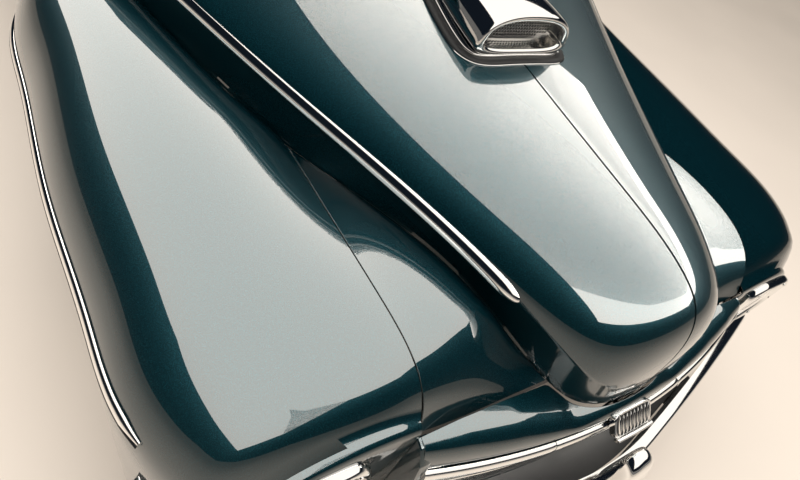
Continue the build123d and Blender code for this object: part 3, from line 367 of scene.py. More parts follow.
def sheet_metal(made, thickness=2.0, edge=0.9, segments=2):
    """Give an open surface its thickness, inwards, with rounded edges."""
    wall = made.modifiers.new("wall", "SOLIDIFY")
    wall.thickness = thickness * MM
    wall.offset = -1.0
    wall.use_even_offset = True
    hem = made.modifiers.new("hem", "BEVEL")
    hem.width = edge * MM
    hem.segments = segments
    hem.limit_method = "ANGLE"
    hem.angle_limit = radians(55)
    return baked(made)


def outward(made):
    """Turn a closed mesh's faces outwards."""
    work = bmesh.new()
    work.from_mesh(made.data)
    bmesh.ops.recalc_face_normals(work, faces=work.faces)
    work.to_mesh(made.data)
    work.free()
    return made


def loft(name, rings, finish, sharp=45.0, closed=False, capped=True):
    """A mesh over closed rings: its ends are capped, or the last ring meets the first."""
    count, corners = len(rings), len(rings[0])
    faces = grid_faces(count, corners, True)
    last = (count - 1) * corners
    if closed:
        faces += [(last + j, last + (j + 1) % corners, (j + 1) % corners, j) for j in range(corners)]
    elif capped:
        faces += [tuple(range(corners))[::-1], tuple(range(last, last + corners))]
    return outward(mesh_object(name, np.concatenate(rings), faces, finish, sharp))


def tube(name, centers, across, out, profile, finish, scale=None, closed=False, sharp=45.0):
    """A bar with one profile (a along across, b along out) swept through frames."""
    count = len(centers)
    across, out = (np.broadcast_to(np.asarray(way, float), (count, 3))[:, None] for way in (across, out))
    profile = np.asarray(profile, float)
    scale = np.ones(count) if scale is None else np.asarray(scale, float)
    spread = profile[:, :1] * across + profile[:, 1:] * out
    rings = np.asarray(centers, float)[:, None] + scale[:, None, None] * spread
    return loft(name, rings, finish, sharp, closed)


def flipped(points, side=-1):
    """The same points on the car's other side, or as they are for side 1."""
    return np.array(points, float) * (1, side, 1)


def true_normals(made, points, reach):
    """Give a panel's outer skin the exact normals of its grid of points."""
    spans = []
    for axis in (0, 1):
        steps = np.linalg.norm(np.diff(points, axis=axis), axis=2).mean(axis=1 - axis)
        spans.append(np.concatenate(([0.0], np.cumsum(np.maximum(steps, 1e-3)))))
    along, across = np.gradient(points, *spans, axis=(0, 1))
    normals = np.cross(across, along).reshape(-1, 3)
    normals /= np.maximum(np.linalg.norm(normals, axis=1), 1e-9)[:, None]
    tree = KDTree(len(normals))
    for index, place in enumerate(points.reshape(-1, 3) * MM):
        tree.insert(place, index)
    tree.balance()
    mesh = made.data
    chosen = [vertex.normal.copy() for vertex in mesh.vertices]
    for index, vertex in enumerate(mesh.vertices):
        _, near, gap = tree.find(vertex.co)
        exact = Vector(normals[near])
        if gap < reach * MM and exact.dot(chosen[index]) > 0.8:
            chosen[index] = exact
    mesh.normals_split_custom_set_from_vertices(chosen)


def surface(name, points, finish, side=1, thickness=2.0, edge=0.9):
    """A panel from a grid of points P[u][v], drawn on the left side and mirrored for the right."""
    rows, columns = points.shape[:2]
    if side < 0:
        points = flipped(points)[:, ::-1]
    made = mesh_object(name, points.reshape(-1, 3), grid_faces(rows, columns), finish)
    sheet_metal(made, thickness, edge)
    true_normals(made, points, edge * 1.2)
    return made


def settle(made, body, replaces=()):
    """Fix a finished piece to its body and the node it stands for."""
    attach(made, body)
    for node in replaces:
        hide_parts(node)
    return made


def panel_pair(name, grid, body, replaced, thickness=2.0, edge=1.0):
    """A painted panel and its mirrored twin. Braces in the replaced node's name stand for the side."""
    for side_name, side in SIDES:
        made = surface(f"{name}_{side_name}", np.array(grid), PAINT, side, thickness, edge)
        settle(made, body, [replaced.format(side_name)])


def dome_profile(half, height, base, count=14):
    """A half-round profile that stands on a sunk base."""
    line = [(half * cos(t), height * sin(t)) for t in np.linspace(0, pi, count)]
    return line + [(-half * 0.9, -base), (half * 0.9, -base)]


def oval(half_a, half_b, count=24, power=1.0):
    """A closed oval profile, squarer with a power under one."""
    turn = np.linspace(0, 2 * pi, count, endpoint=False)
    c, s = np.cos(turn), np.sin(turn)
    return np.stack([half_a * np.sign(c) * abs(c) ** power, half_b * np.sign(s) * abs(s) ** power], axis=1)


def rounded(outline, radius, steps=7):
    """A closed outline with its corners rounded."""
    outline = np.asarray(outline, float)
    line = []
    for corner, last, following in zip(outline, np.roll(outline, 1, axis=0), np.roll(outline, -1, axis=0)):
        before, after = unit(last - corner), unit(following - corner)
        reach = radius / tan(np.arccos(np.clip(before.dot(after), -1, 1)) / 2)
        line += list(bend(corner + before * reach, corner, corner + after * reach, steps))
    return np.array(line)


def joined(name, parts):
    """One mesh object from several."""
    work = bmesh.new()
    finishes = []
    for part in parts:
        start = len(work.faces)
        work.from_mesh(part.data)
        work.faces.ensure_lookup_table()
        finishes += [finish for finish in part.data.materials if finish not in finishes]
        places = [finishes.index(finish) for finish in part.data.materials]
        for face in work.faces[start:]:
            face.material_index = places[face.material_index]
    mesh = bpy.data.meshes.new(name)
    work.to_mesh(mesh)
    work.free()
    for finish in finishes:
        mesh.materials.append(finish)
    for part in parts:
        bpy.data.objects.remove(part)
    made = bpy.data.objects.new(name, mesh)
    bpy.context.scene.collection.objects.link(made)
    return made


# Hood halves

HOOD_ROWS = (
    # back, spear_y, spear_z, edge_y, edge_z, top_z
    (0.0, 3.0, 712.0, 2.5, 662.0, 742.0),
    (3.0, 62.0, 726.0, 50.0, 661.0, 800.0),
    (14.0, 118.0, 744.0, 100.0, 660.0, 860.0),
    (50.0, 180.0, 774.0, 154.0, 662.0, 920.0),
    (120.0, 234.0, 808.0, 199.0, 684.0, 951.0),
    (300.0, 318.0, 850.0, 283.0, 752.0, 974.0),
    (740.0, 515.0, 892.0, 500.0, 762.0, 1008.0),
    (1390.0, 800.0, 970.0, 775.0, 862.0, 1076.0),
)
HOOD_GAP = 2.8


def hood_lines(row):
    """The dome and the side of one section of the left hood half."""
    _, y, z, edge_y, edge_z, top = row
    dome = arc((HOOD_GAP, z), (y - HOOD_GAP, top - z), 90, 0, 120)
    hollow = (edge_y * 0.62 + y * 0.38 - 5, edge_z * 0.5 + z * 0.5)
    return even(dome, 64), even(bend((y, z), hollow, (edge_y, edge_z), 30), 14)


hood_backs = chained(4 * np.linspace(0, 1, 7) ** 2, np.linspace(4, 60, 13), np.linspace(60, 1390, 112))
hood_grid = []
for row in rows_at(HOOD_ROWS, hood_backs):
    dome, side = hood_lines(row)
    hood_grid.append(at_x(NOSE - row[0], np.concatenate([dome, side[1:]])))
panel_pair("hood_half", hood_grid, "hood", "hood_{}")

# Front fenders

FENDER_ROWS = (
    # back, inner_y, inner_z, crown_y, crown_z, side_y, side_z, low_z
    (102.0, 505.0, 722.0, 622.0, 746.0, 812.0, 608.0, 404.0),
    (124.0, 505.0, 763.0, 644.0, 788.0, 852.0, 608.0, 388.0),
    (168.0, 509.0, 800.0, 666.0, 816.0, 886.0, 614.0, 368.0),
    (300.0, 522.0, 828.0, 692.0, 843.0, 932.0, 632.0, 342.0),
    (460.0, 527.0, 824.0, 697.5, 851.5, 943.0, 638.0, 332.0),
    (600.0, 521.0, 805.0, 701.0, 857.0, 950.0, 642.0, 325.0),
    (740.0, 514.0, 784.0, 706.0, 862.0, 957.0, 646.0, 320.0),
    (1090.0, 600.0, 818.0, 755.0, 868.0, 952.0, 640.0, 320.0),
    (1360.0, 766.0, 853.0, 806.0, 864.0, 932.0, 610.0, 322.0),
    (1495.0, 806.0, 852.0, 816.0, 854.0, 874.0, 570.0, 330.0),
)
FRONT_ARCH = (AXLE_FRONT, 425.0, 645.0)


def fender_line(row):
    """One whole fender section from its inner edge over the crown to its lower edge."""
    _, inner_y, inner_z, crown_y, crown_z, side_y, side_z, low_z = row
    across, drop = crown_y - inner_y, max(crown_z - inner_z, 0.5)
    radius = (across ** 2 + drop ** 2) / (2 * drop)
    turn = np.linspace(2 * atan2(drop, across), 0, 50)
    top = np.stack([crown_y - radius * np.sin(turn), crown_z - radius * (1 - np.cos(turn))], axis=1)
    flank = arc((crown_y, side_z), (side_y - crown_y, crown_z - side_z), 90, 0, 120)
    skirt = np.linspace((side_y, side_z), (side_y - 12.0, low_z), 30)
    return softened(even(np.concatenate([top, flank[1:], skirt[1:]]), 130), 50)


def fender_grid(table, arch, xs, count):
    """The fender's surface at stations of x: even rows above the arch, then down to it or to the edge."""
    coarse = np.linspace(xs[-1], xs[0], max(8, int((xs[0] - xs[-1]) / 30)))
    lines = natural(coarse, np.array([fender_line(row) for row in rows_at(table, NOSE - coarse)]), xs)
    lows = rows_at(table, NOSE - xs)[:, 7]
    at = np.linspace(0, 1, lines.shape[1])
    dense = np.linspace(0, 1, 700)
    upper = int(count * 0.68)
    grid = []
    for x, line, low in zip(xs, lines, lows):
        heights = natural(at, line, dense)[:, 1]
        falling = np.argmax(heights)
        reach = (x - arch[0]) / arch[1]
        bottom = low + (arch[2] - low) * sqrt(max(1 - reach ** 2, 0.0))
        turns = np.interp((-arch[2] - 12.0, -bottom), -heights[falling:], dense[falling:])
        places = chained(np.linspace(0, turns[0], upper), np.linspace(*turns, count - upper + 1))
        grid.append(at_x(x, natural(at, line, places)))
    return np.array(grid)


def beside_hood(table, backs, gap=5.5, blend=14.0):
    """Fender rows at given stations whose inner edge keeps clear of the hood's side."""
    rows = rows_at(table, backs)
    for row, hood_row in zip(rows, rows_at(HOOD_ROWS, backs.clip(3))):
        side = hood_lines(hood_row)[1][::-1]
        clear = np.interp(row[2], side[:, 1], side[:, 0]) + gap
        row[1] = (row[1] + clear) / 2 + sqrt((row[1] - clear) ** 2 + blend ** 2) / 2
    return rows


crowded = np.array((102.0, 113.0, 124.0, 146.0, 168.0, 205.0, 250.0, 300.0))
fender_table = beside_hood(FENDER_ROWS, chained(crowded, np.linspace(300, 1495, 36)))
arch_ends = (AXLE_FRONT - FRONT_ARCH[1], AXLE_FRONT + FRONT_ARCH[1])
front_xs = stations(NOSE - 1495, NOSE - 102, 14.0, arch_ends)[::-1]
front_fender = fender_grid(fender_table, FRONT_ARCH, front_xs, 72)


def rolled_front(grid, radius=18.0, steps=6):
    """Rows that roll the fender's front edge inwards onto its flat end."""
    edge = grid[0][:, 1:]
    along = np.gradient(edge, axis=0)
    normal = unit(np.stack([along[:, 1], -along[:, 0]], axis=1))
    turns = np.linspace(0, pi / 2, steps + 1)[:0:-1]
    return np.array([at_x(grid[0][0, 0] + radius * sin(turn), edge + normal * radius * (1 - cos(turn)))
                     for turn in turns])


rolls = rolled_front(front_fender)
panel_pair("front_fender", np.concatenate([rolls, front_fender]), "root", "front_fenders", 2.4, 1.1)

# Catwalks, between the hood and the fender seams

catwalk_backs = chained(np.linspace(92, 130, 9), np.linspace(130, 1290, 98))
hood_edges = rows_at(HOOD_ROWS, catwalk_backs)
seam_rows = rows_at(fender_table, catwalk_backs.clip(102))
catwalk = []
for back, edge, seam in zip(catwalk_backs, hood_edges, seam_rows):
    start = np.array([edge[3] + 4.5, edge[4] + 3.0])
    # From the point where the hood is close, the outer edge tucks under the fender's edge
    under = np.clip((back - 700) / 80, 0, 1)
    end = np.array([seam[1] - 3.0 + 10.0 * under, seam[2] - 0.6 - 14.0 * under - max(102 - back, 0) * 2.2])
    width, height = end - start
    rise = 2 * atan2(max(seam[4] - seam[2], 0.5), seam[3] - seam[1])
    # A cubic from the hood's side to the fender's seam, which it meets in the fender's own slope
    t = np.linspace(0, 1, 34)[:, None]
    lead = np.array([width * 0.55, height * 0.75])
    arrive = np.array([cos(rise), sin(rise)]) * width * 0.9
    line = ((2 * t ** 3 - 3 * t ** 2 + 1) * start + (t ** 3 - 2 * t ** 2 + t) * lead
            + (3 * t ** 2 - 2 * t ** 3) * end + (t ** 3 - t ** 2) * arrive)
    # Behind the nose it turns into a shelf that stays high and falls only close to the hood
    inwards = 1 - t[:, 0]
    ease = tan(rise) * 60.0 * (1 - np.exp(-inwards * width / 60.0))
    shelf_z = end[1] - ease - (height - ease[0]) * inwards ** 5
    shelf = np.column_stack([start[0] + width * t[:, 0], shelf_z])
    catwalk.append(at_x(NOSE - back, line + (shelf - line) * smooth_step((back - 105) / 135)))
panel_pair("catwalk", catwalk, "root", "catwalks")

# Hood spears along the crease of each half, with a rounded tip

spear_backs = chained(200 + 40 * np.linspace(0, 1, 12) ** 1.6, np.linspace(240, 1384, 70))
spear_rows = rows_at(HOOD_ROWS, spear_backs)
spear_line = np.column_stack([NOSE - spear_backs, spear_rows[:, 1] + 1.0, spear_rows[:, 2] + 5.0])
from_tip = (spear_backs - spear_backs[0]).clip(0, 44) / 44
narrowing = 1.0 - 0.25 * ((spear_backs - 240) / 1144).clip(0, 1)
spear_scale = np.sqrt(1 - (1 - from_tip) ** 2).clip(0.03, 1) * narrowing
for side_name, side in SIDES:
    spear = tube(f"hood_spear_{side_name}", flipped(spear_line, side), (0, -0.60 * side, 0.80),
                 (0, 0.80 * side, 0.60), dome_profile(16.0, 12.0, 7.0), CHROME, spear_scale)
    settle(spear, "hood")

# Nose fascia: a shelf from the groove down to the grille's top bar

def bar_x(y, ahead=0.0):
    """x of the bowed line of the grille's face at a y."""
    return BAR_FACE - BAR_RADIUS + np.sqrt((BAR_RADIUS + ahead) ** 2 - np.asarray(y, float) ** 2)


def fan(low, high, count):
    """Directions in plan, spread between two angles from the car's axis."""
    turn = np.linspace(low, high, count)
    return np.column_stack([np.cos(turn), np.sin(turn), 0 * turn])


nose_edge = rows_at(HOOD_ROWS, chained(4 * np.linspace(0, 1, 12) ** 2, np.linspace(4, 95, 40)))
edge_ys, edge_xs, edge_zs = nose_edge[:, 3], NOSE - nose_edge[:, 0], nose_edge[:, 4]
GROOVE_X = NOSE - 86.0
fascia = []
for y in np.linspace(0, 502.0, 64):
    inner = max(y - 5.0, edge_ys[0])
    near_x = np.interp(inner, edge_ys, edge_xs) + 5.0 * (y < 200)
    near_z = np.interp(inner, edge_ys, edge_zs) - 1.0
    share = smooth_step((y - 150.0) / 60.0)
    groove_z = np.interp(y, (180, 300, 420, 505), (668.0, 690.0, 697.0, 690.0))
    start = (max(near_x, GROOVE_X) * (1 - share) + GROOVE_X * share, near_z * (1 - share) + groove_z * share)
    end = (max(bar_x(y, -14.0), start[0] + 6.0), 628.0)
    line = bend(start, (end[0] + 1.0, start[1] + 2.0 - 8.0 * (1 - share)), end, 22)
    fascia.append(at_y(y, line))
fascia = np.array(fascia)
nose_shelf = surface("nose_fascia", np.concatenate([flipped(fascia)[:0:-1], fascia]), PAINT, 1, 2.0, 0.9)
settle(nose_shelf, "root", ["nose_panels"])
lip_out = fan(radians(-16.3), radians(16.3), 60)
bar_center = np.array([BAR_FACE - BAR_RADIUS, 0, 0])
valance_line = bar_center + (BAR_RADIUS - 42.0) * lip_out + (0, 0, 368.0)
valance = tube("valance", valance_line, (0, 0, 1), lip_out, oval(38.0, 14.0, 20, 0.6), PAINT)
settle(valance, "root")

# Grille: bowed chrome bars, upright posts and the ribbed centre piece

GRILLE_BARS = (
    # middle height, setback of the face, height, start, stop
    (600.0, 0.0, 36.0, -204.2, 204.2), (600.0, 0.0, 36.0, 205.8, 490.0), (600.0, 0.0, 36.0, -490.0, -205.8),
    (552.0, -10.0, 22.0, -486.0, 486.0), (510.0, -16.0, 22.0, -486.0, 486.0),
    (468.0, -22.0, 22.0, -486.0, 486.0), (424.0, -26.0, 28.0, -486.0, 486.0),
)


def bowed_bar(middle, setback, height, start, stop):
    """A bowed bar between two values of y on the grille's face."""
    out = fan(np.arcsin(start / BAR_RADIUS), np.arcsin(stop / BAR_RADIUS), 40)
    line = bar_center + (BAR_RADIUS + setback - 13.0) * out + (0, 0, middle)
    return tube("bar", line, (0, 0, 1), out, oval(height / 2, 12.6, 26, 0.8), CHROME, end_taper(40, 1, 0.94))


grille_parts = [bowed_bar(*row) for row in GRILLE_BARS]
for y in (-430.0, -215.0, 0.0, 215.0, 430.0):
    x = float(bar_x(y)) - 38.0
    line = np.linspace((x, y, 412), (x, y, 612), 10)
    grille_parts.append(tube("post", line, (0, 1, 0), (1, 0, 0), oval(8.0, 12.0, 18, 0.8), CHROME))

# The ribbed centre piece leans back on the top bar
badge = np.array((2491.0, 0.0, 626.0))
badge_up, badge_out = np.array((-0.655, 0.0, 0.756)), np.array((0.756, 0.0, 0.655))
BADGE_LAYERS = (
    # name, depths, half width, half height, finish, scale at each depth
    ("plate", (-14.0, 0.0, 1.5), 60.0, 29.0, CHROME, (1, 1, 0.97)),
    # The recess is a near-black layer under the ribs: painted shade between them
    ("recess", (1.0, 1.9), 55.0, 24.0, DARK, None),
)
for label, depths, half_y, half_up, finish, scale in BADGE_LAYERS:
    line = [badge + badge_out * depth for depth in depths]
    outline = oval(half_y, half_up, 48, 0.35)
    grille_parts.append(tube(label, line, (0, 1, 0), badge_up, outline, finish, scale))
for y in np.linspace(-48.0, 48.0, 9):
    middle = badge + badge_out * 1.5 + (0, y, 0)
    line = np.linspace(middle - badge_up * 23.0, middle + badge_up * 23.0, 12)
    fit = np.sqrt(np.sin(np.linspace(0.06, pi - 0.06, 12)))
    grille_parts.append(tube("rib", line, (0, 1, 0), badge_out, oval(3.6, 5.0, 14), CHROME, fit))
rim_line = [badge - badge_up * 29.0 + badge_out * (4.0 - y * y / 1800) + (0, y, 0)
            for y in np.linspace(-58, 58, 24)]
grille_parts.append(tube("rim", rim_line, badge_up, badge_out, oval(4.5, 7.0, 16), CHROME))

# Painted posts close the gap between the grille and the fenders
POST_SIDE = ((2361, 402), (2403, 402), (2409, 440), (2409, 600), (2402, 650), (2382, 684), (2361, 692))
POST_STEPS = ((509, 0.02), (507, 0.0), (489, 0.0), (485, 0.03), (483, 0.10))     # y and inset of each ring
post_outline = rounded(POST_SIDE, 6.0, 4)
corners, last = len(post_outline), len(POST_STEPS) - 1
post_faces = grid_faces(len(POST_STEPS), corners, True)
post_faces += [tuple(range(corners)), tuple(range(last * corners, (last + 1) * corners))]
for side_name, side in SIDES:
    rings = [at_y(y * side, post_outline + (post_outline.mean(axis=0) - post_outline) * inset)
             for y, inset in POST_STEPS]
    post = outward(mesh_object(f"grille_post_{side_name}", np.concatenate(rings), post_faces, PAINT))
    settle(post, "root", ["nose_panels"])
settle(joined("grille_bars", grille_parts), "root", ["grille"])

# Front apron: a pan between the valance and the bumper, near-black as painted shade below the grille

BUMPER_FACE = 2574.0
BUMPER_Z = 396.0


def bowed_x(face, radius, half, slope, y):
    """x of a bumper's line in plan: an arc in the middle and straight beyond it."""
    y = np.abs(y)
    return face - radius + np.sqrt(radius ** 2 - np.minimum(y, half) ** 2) - np.maximum(y - half, 0) * slope


pan_ys = np.linspace(-520, 520, 60)
pan_inner = np.column_stack([bar_x(pan_ys) - 60.0, pan_ys, np.full(60, 404.0)])
outer_xs = bowed_x(BUMPER_FACE - 38.0, 900.0, 187.0, 0.229, pan_ys)
pan_outer = np.column_stack([outer_xs, pan_ys, np.full(60, 397.0)])
pan = np.linspace(pan_inner, pan_outer, 8, axis=1)
pan[:, :, 2] -= 14.0 * np.sin(np.linspace(0, pi, 8))
apron = outward(mesh_object("front_apron", pan.reshape(-1, 3), grid_faces(60, 8), DARK))
apron.modifiers.new("thickness", "SOLIDIFY").thickness = 2.0 * MM
settle(baked(apron), "root", ["front_bumper"])

# Headlamp surrounds and lamps

LAMP = (690.0, 603.0)


def square_ring(half, corner, count=96):
    """Points of a rounded square by angle."""
    inner = half - corner
    ring = []
    for t in np.linspace(0, 2 * pi, count, endpoint=False):
        c, s = abs(cos(t)), abs(sin(t))
        reach = half / max(c, s)
        if min(c, s) * reach > inner:
            b = inner * (c + s)
            reach = b + sqrt(max(b * b - 2 * inner ** 2 + corner ** 2, 0.0))
        ring.append((reach * cos(t), reach * sin(t)))
    return np.array(ring)


def facing(name, rings, place, finish, cap=False, sharp=40.0):
    """A piece of rings (x, points) about a centre (y, z), seen along x."""
    return loft(name, [at_x(x, ring + place) for x, ring in rings], finish, sharp, capped=cap)


def rings_of(shape, *steps):
    """Rings of one shape at steps of (x, size)."""
    return [(x, shape * size) for x, size in steps]


def dome_rings(shape, x, rise, radius, start, count, rest=0.2):
    """Rings of a dome that stands on x."""
    return [(x + rise * sin(a), shape * (radius * cos(a) + rest)) for a in np.linspace(start, pi / 2, count)]


square, circle = square_ring(98.0, 52.0), oval(1.0, 1.0, 96)
bezel_rings = rings_of(square, (2350, 0.97), (2346.5, 0.985), (2347, 1), (2369, 1), (2376, 0.985),
                       (2380.5, 0.955), (2382, 0.93))
bezel_rings += [(2381.4, circle * 40 + square * 0.52)]
bezel_rings += rings_of(circle, (2379, 91), (2375, 87), (2370, 84.6), (2352, 84.4)) + bezel_rings[:1]
screw_rings = rings_of(oval(1.0, 1.0, 20), (2381, 5.4), (2383.2, 4.9), (2384.4, 3.0), (2384.6, 0.4))
lens_rings = rings_of(circle, (2352, 83.0), (2366, 83.6)) + dome_rings(circle, 2366, 15.5, 83.6, 0.12, 12)
bowl_rings = rings_of(circle, (2351.5, 83.5), *((2350.5 - 60 * (1 - (r / 83.0) ** 2), r)
                                                for r in np.linspace(82.0, 6.0, 12)))
bulb_rings = dome_rings(circle, 2300, 28, 9, -0.9, 9, 0.1)
for side_name, side in SIDES:
    place = (LAMP[0] * side, LAMP[1])
    parts = [facing("bezel", bezel_rings, place, CHROME)]
    for turn in np.radians((45, 135, 225, 315)):
        spot = (place[0] + 99 * cos(turn), place[1] + 99 * sin(turn))
        parts.append(facing("screw", screw_rings, spot, CHROME, cap=True))
    settle(joined(f"headlamp_surround_{side_name}", parts), "root", ["headlamp_bezels"])
    lens = facing(f"headlamp_lens_{side_name}", lens_rings, place, LENS, cap=True)
    settle(lens, "root", ["headlamp_lenses"])
    parts = [facing("bowl", bowl_rings, place, CHROME), facing("bulb", bulb_rings, place, IVORY, cap=True)]
    settle(joined(f"headlamp_bowl_{side_name}", parts), "root")

# Flat end of each fender, with the opening for the lamp

def within(loop, spots):
    """Whether some 2-D points lie inside a closed outline."""
    odd = np.zeros(len(spots), bool)
    for (a, b), (c, d) in zip(loop, np.roll(loop, -1, axis=0)):
        crosses = (b > spots[:, 1]) != (d > spots[:, 1])
        with np.errstate(divide="ignore", invalid="ignore"):
            at = (c - a) * (spots[:, 1] - b) / (d - b) + a
        odd ^= crosses & (spots[:, 0] < at)
    return odd


def sheet_at(name, x, outline, finish, holes=()):
    """A flat sheet across the car at x, inside an outline (y, z), with holes."""
    loops = [np.asarray(loop, float) for loop in (outline, *holes)]
    edges = []
    for loop in loops:
        count, start = len(loop), len(edges)
        edges += [(start + k, start + (k + 1) % count) for k in range(count)]
    result = delaunay_2d_cdt([Vector(spot) for spot in np.concatenate(loops)], edges, [], 2, 1e-5)
    flat, faces = result[0], result[2]
    middles = np.array([np.mean([flat[k][:] for k in face], axis=0) for face in faces])
    cut = np.zeros(len(faces), bool)
    for hole in loops[1:]:
        cut |= within(hole, middles)
    faces = [face for face, gone in zip(faces, cut) if not gone]
    return mesh_object(name, [(x, *spot) for spot in flat], faces, finish, 40.0)


for side_name, side in SIDES:
    edge = rolls[0][:, 1:]
    outline = np.vstack([edge, (edge[0, 0], edge[-1, 1])]) * (side, 1)
    hole = square_ring(98.5, 52.5) + (LAMP[0] * side, LAMP[1])
    face = sheet_at(f"fender_face_{side_name}", rolls[0][0, 0] - 0.4, outline, PAINT, [hole])
    settle(sheet_metal(face, 2.0, 0.6), "root", ["front_fenders"])

# Side mouldings: a bright strip with a dark inlaid line

MOULDING_Z = 672.0


def moulding(name, line, outs, body):
    """A strip along a line on the car's side, half round, with a dark centre line."""
    taper = end_taper(len(line), 3, 0.5)
    strip = tube("strip", line, (0, 0, 1), outs, dome_profile(15.0, 8.0, 4.0), CHROME, taper)
    inlay = tube("inlay", line + outs * 5.6, (0, 0, 1), outs, dome_profile(4.4, 3.2, 3.0, 8), DARK, taper)
    settle(joined(name, [strip, inlay]), body)


rub_points = []
for row in front_fender:
    if 240 <= NOSE - row[0, 0] <= 1488:
        outer = row[np.argmax(row[:, 2]):]
        rub_points.append((row[0, 0], np.interp(-MOULDING_Z, -outer[:, 2], outer[:, 1]), MOULDING_Z))
rub_points = np.array(rub_points)
slope = np.gradient(rub_points[:, 1], rub_points[:, 0])
rub_outs = unit(np.column_stack([-slope, np.ones(len(slope)), 0 * slope]))
for side_name, side in SIDES:
    moulding(f"fender_moulding_{side_name}", flipped(rub_points, side), flipped(rub_outs, side), "root")

# A near-black strip under the seam between the hood's halves: painted shade that keeps the gap dark
seam_backs = chained(np.linspace(0.5, 60, 20), np.linspace(60, 1386, 60))
seam_line = np.column_stack([NOSE - seam_backs, 0 * seam_backs, rows_at(HOOD_ROWS, seam_backs)[:, 5]])
seam_run = np.gradient(seam_line, axis=0)
seam_out = np.column_stack([-seam_run[:, 2], 0 * seam_backs, seam_run[:, 0]])
seam_out = unit(seam_out) * np.sign(seam_out[:, 2:])
seal = tube("hood_seal", seam_line - seam_out * 4.2, (0, 1, 0), seam_out, oval(3.4, 1.6, 12), DARK)
settle(seal, "hood")

# Front bumper: a bowed bar with rounded edges, wrapped round the corners, and its guard

FRONT_BENDS = ((900.0, 12.0), (9707.0, 4.0), (150.0, 74.0))      # radius and degrees of each arc in plan
REAR_BENDS = ((900.0, 6.0), (8832.0, 5.0), (150.0, 79.0))
BAR_HALF = ((0, 0), (20, -1.2), (40, -4), (54, -6), (63, -10), (66, -16), (66, -36))
BAR_PROFILE = [(-a, b) for a, b in BAR_HALF[:0:-1]] + list(BAR_HALF)


def bumper_bar(name, face_x, bends, flip, tail=64.0):
    """A whole bumper bar: arcs in plan on both sides of the middle, then straight ends."""
    spot, heading, places = np.array((face_x, 0.0)), 0.0, []
    for radius, degrees in bends:
        center = spot - radius * np.array((cos(heading), sin(heading)))
        steps = max(6, int(degrees * 1.2))
        for turn in heading + radians(degrees) * np.arange(steps + 1) / steps:
            spot = center + radius * np.array((cos(turn), sin(turn)))
            places.append((*spot, turn))
        heading = turn
        places.pop()
    ahead = np.array((-sin(heading), cos(heading)))
    places += [(*(spot + ahead * tail * share), heading) for share in (0.0, 0.5, 0.96, 1.0)]
    xs, ys, turns = np.array([(a, -b, -c) for a, b, c in places[:0:-1]] + places).T
    line = np.column_stack([xs * flip, ys, np.full(len(xs), BUMPER_Z)])
    outs = np.column_stack([np.cos(turns) * flip, np.sin(turns), 0 * turns])
    return tube(name, line, (0, 0, 1), outs, BAR_PROFILE, CHROME, end_taper(len(line), 1, 0.94), sharp=60)


def bumper_arms(root, knee, tip):
    """The two iron arms that carry a bumper."""
    return [tube("arm", [(root, y, 370.0), (knee, y, 370.0), (tip, y, 374.0)], (0, 1, 0), (0, 0, 1),
                 oval(34.0, 19.0, 16, 0.4), IRON) for y in (435.0, -435.0)]


def subdivided(made, levels, sharp):
    """The same piece, made finer and rounder."""
    finer = made.modifiers.new("finer", "SUBSURF")
    finer.levels = finer.render_levels = levels
    return baked(made, sharp)


GUARD_OUTLINE = np.array((
    # ahead of the bumper's face, height
    (-34, 318), (0, 318), (18, 330), (25, 380), (26, 440), (25, 500), (20, 545), (11, 574), (-4, 587),
    (-20, 590), (-31, 584), (-34, 566),
), float)
guard_middle = GUARD_OUTLINE.mean(axis=0)
guard_rings = []
for share in np.concatenate([np.linspace(-1, -0.8, 5), np.linspace(-0.6, 0.6, 7), np.linspace(0.8, 1, 5)]):
    shrink = sqrt(max(1 - abs(share) ** 3, 0.0)) * 0.35 + 0.65
    ring = guard_middle + (GUARD_OUTLINE - guard_middle) * shrink + (BUMPER_FACE, 0)
    guard_rings.append(at_y(share * 42.0, ring))
guard = subdivided(loft("guard", guard_rings, CHROME, 50), 2, 60)
front_bar = bumper_bar("bar", BUMPER_FACE, FRONT_BENDS, 1)
front_parts = [front_bar, guard] + bumper_arms(2290.5, 2400.0, 2472.0)
settle(joined("bumper_bar_front", front_parts), "root", ["front_bumper"])

# Air scoop: a polished shell with a thick rolled mouth, a punched screen and a rubber gasket on the hood

SCOOP_ROWS = (
    # back, width, height
    (694.0, 262.0, 104.0), (720.0, 262.0, 106.0), (860.0, 240.0, 98.0), (1040.0, 170.0, 70.0),
    (1184.0, 70.0, 26.0),
)
LIP = 9.5
SCREEN_BACK = 734.0
HOLE_PITCH, HOLE_RADIUS = 8.4, 3.3


def hood_height(back, y):
    """Height of the hood's dome at a setback and a distance from the centreline."""
    _, spear_y, spear_z, _, _, top = rows_at(HOOD_ROWS, [back])[0]
    share = min(max((abs(y) - HOOD_GAP) / (spear_y - HOOD_GAP), 0.0), 1.0)
    return spear_z + (top - spear_z) * sqrt(1 - share ** 2)


def scoop_ring(back, inset=0.0, size_back=None, count=72):
    """One section of the scoop: round above, squarer and wider below."""
    _, width, height = rows_at(SCOOP_ROWS, [size_back or back])[0]
    turn = np.linspace(0, 2 * pi, count, endpoint=False)
    c, s = np.cos(turn), np.sin(turn)
    power = np.where(s > 0, 0.82, 0.52)
    y = (width / 2 - inset) * np.sign(c) * abs(c) ** power
    z = (height / 2 - inset) * np.sign(s) * abs(s) ** power
    y *= 1 - 0.13 * z / (height / 2)
    return np.column_stack([np.full(count, NOSE - back), y, z + height / 2 + hood_height(back, 0.0) - 2.0])


scoop_rings = [scoop_ring(back) for back in np.linspace(1184, 712, 40)]
scoop_rings += [scoop_ring(694.5 + LIP * (1 - sin(turn)), LIP * (1 - cos(turn)), 700.0)
                for turn in np.linspace(0, pi, 11)]
scoop_rings += [scoop_ring(back, 2 * LIP + 1.0) for back in np.linspace(715, 846, 8)]
shell = loft("shell", scoop_rings, CHROME, 50)

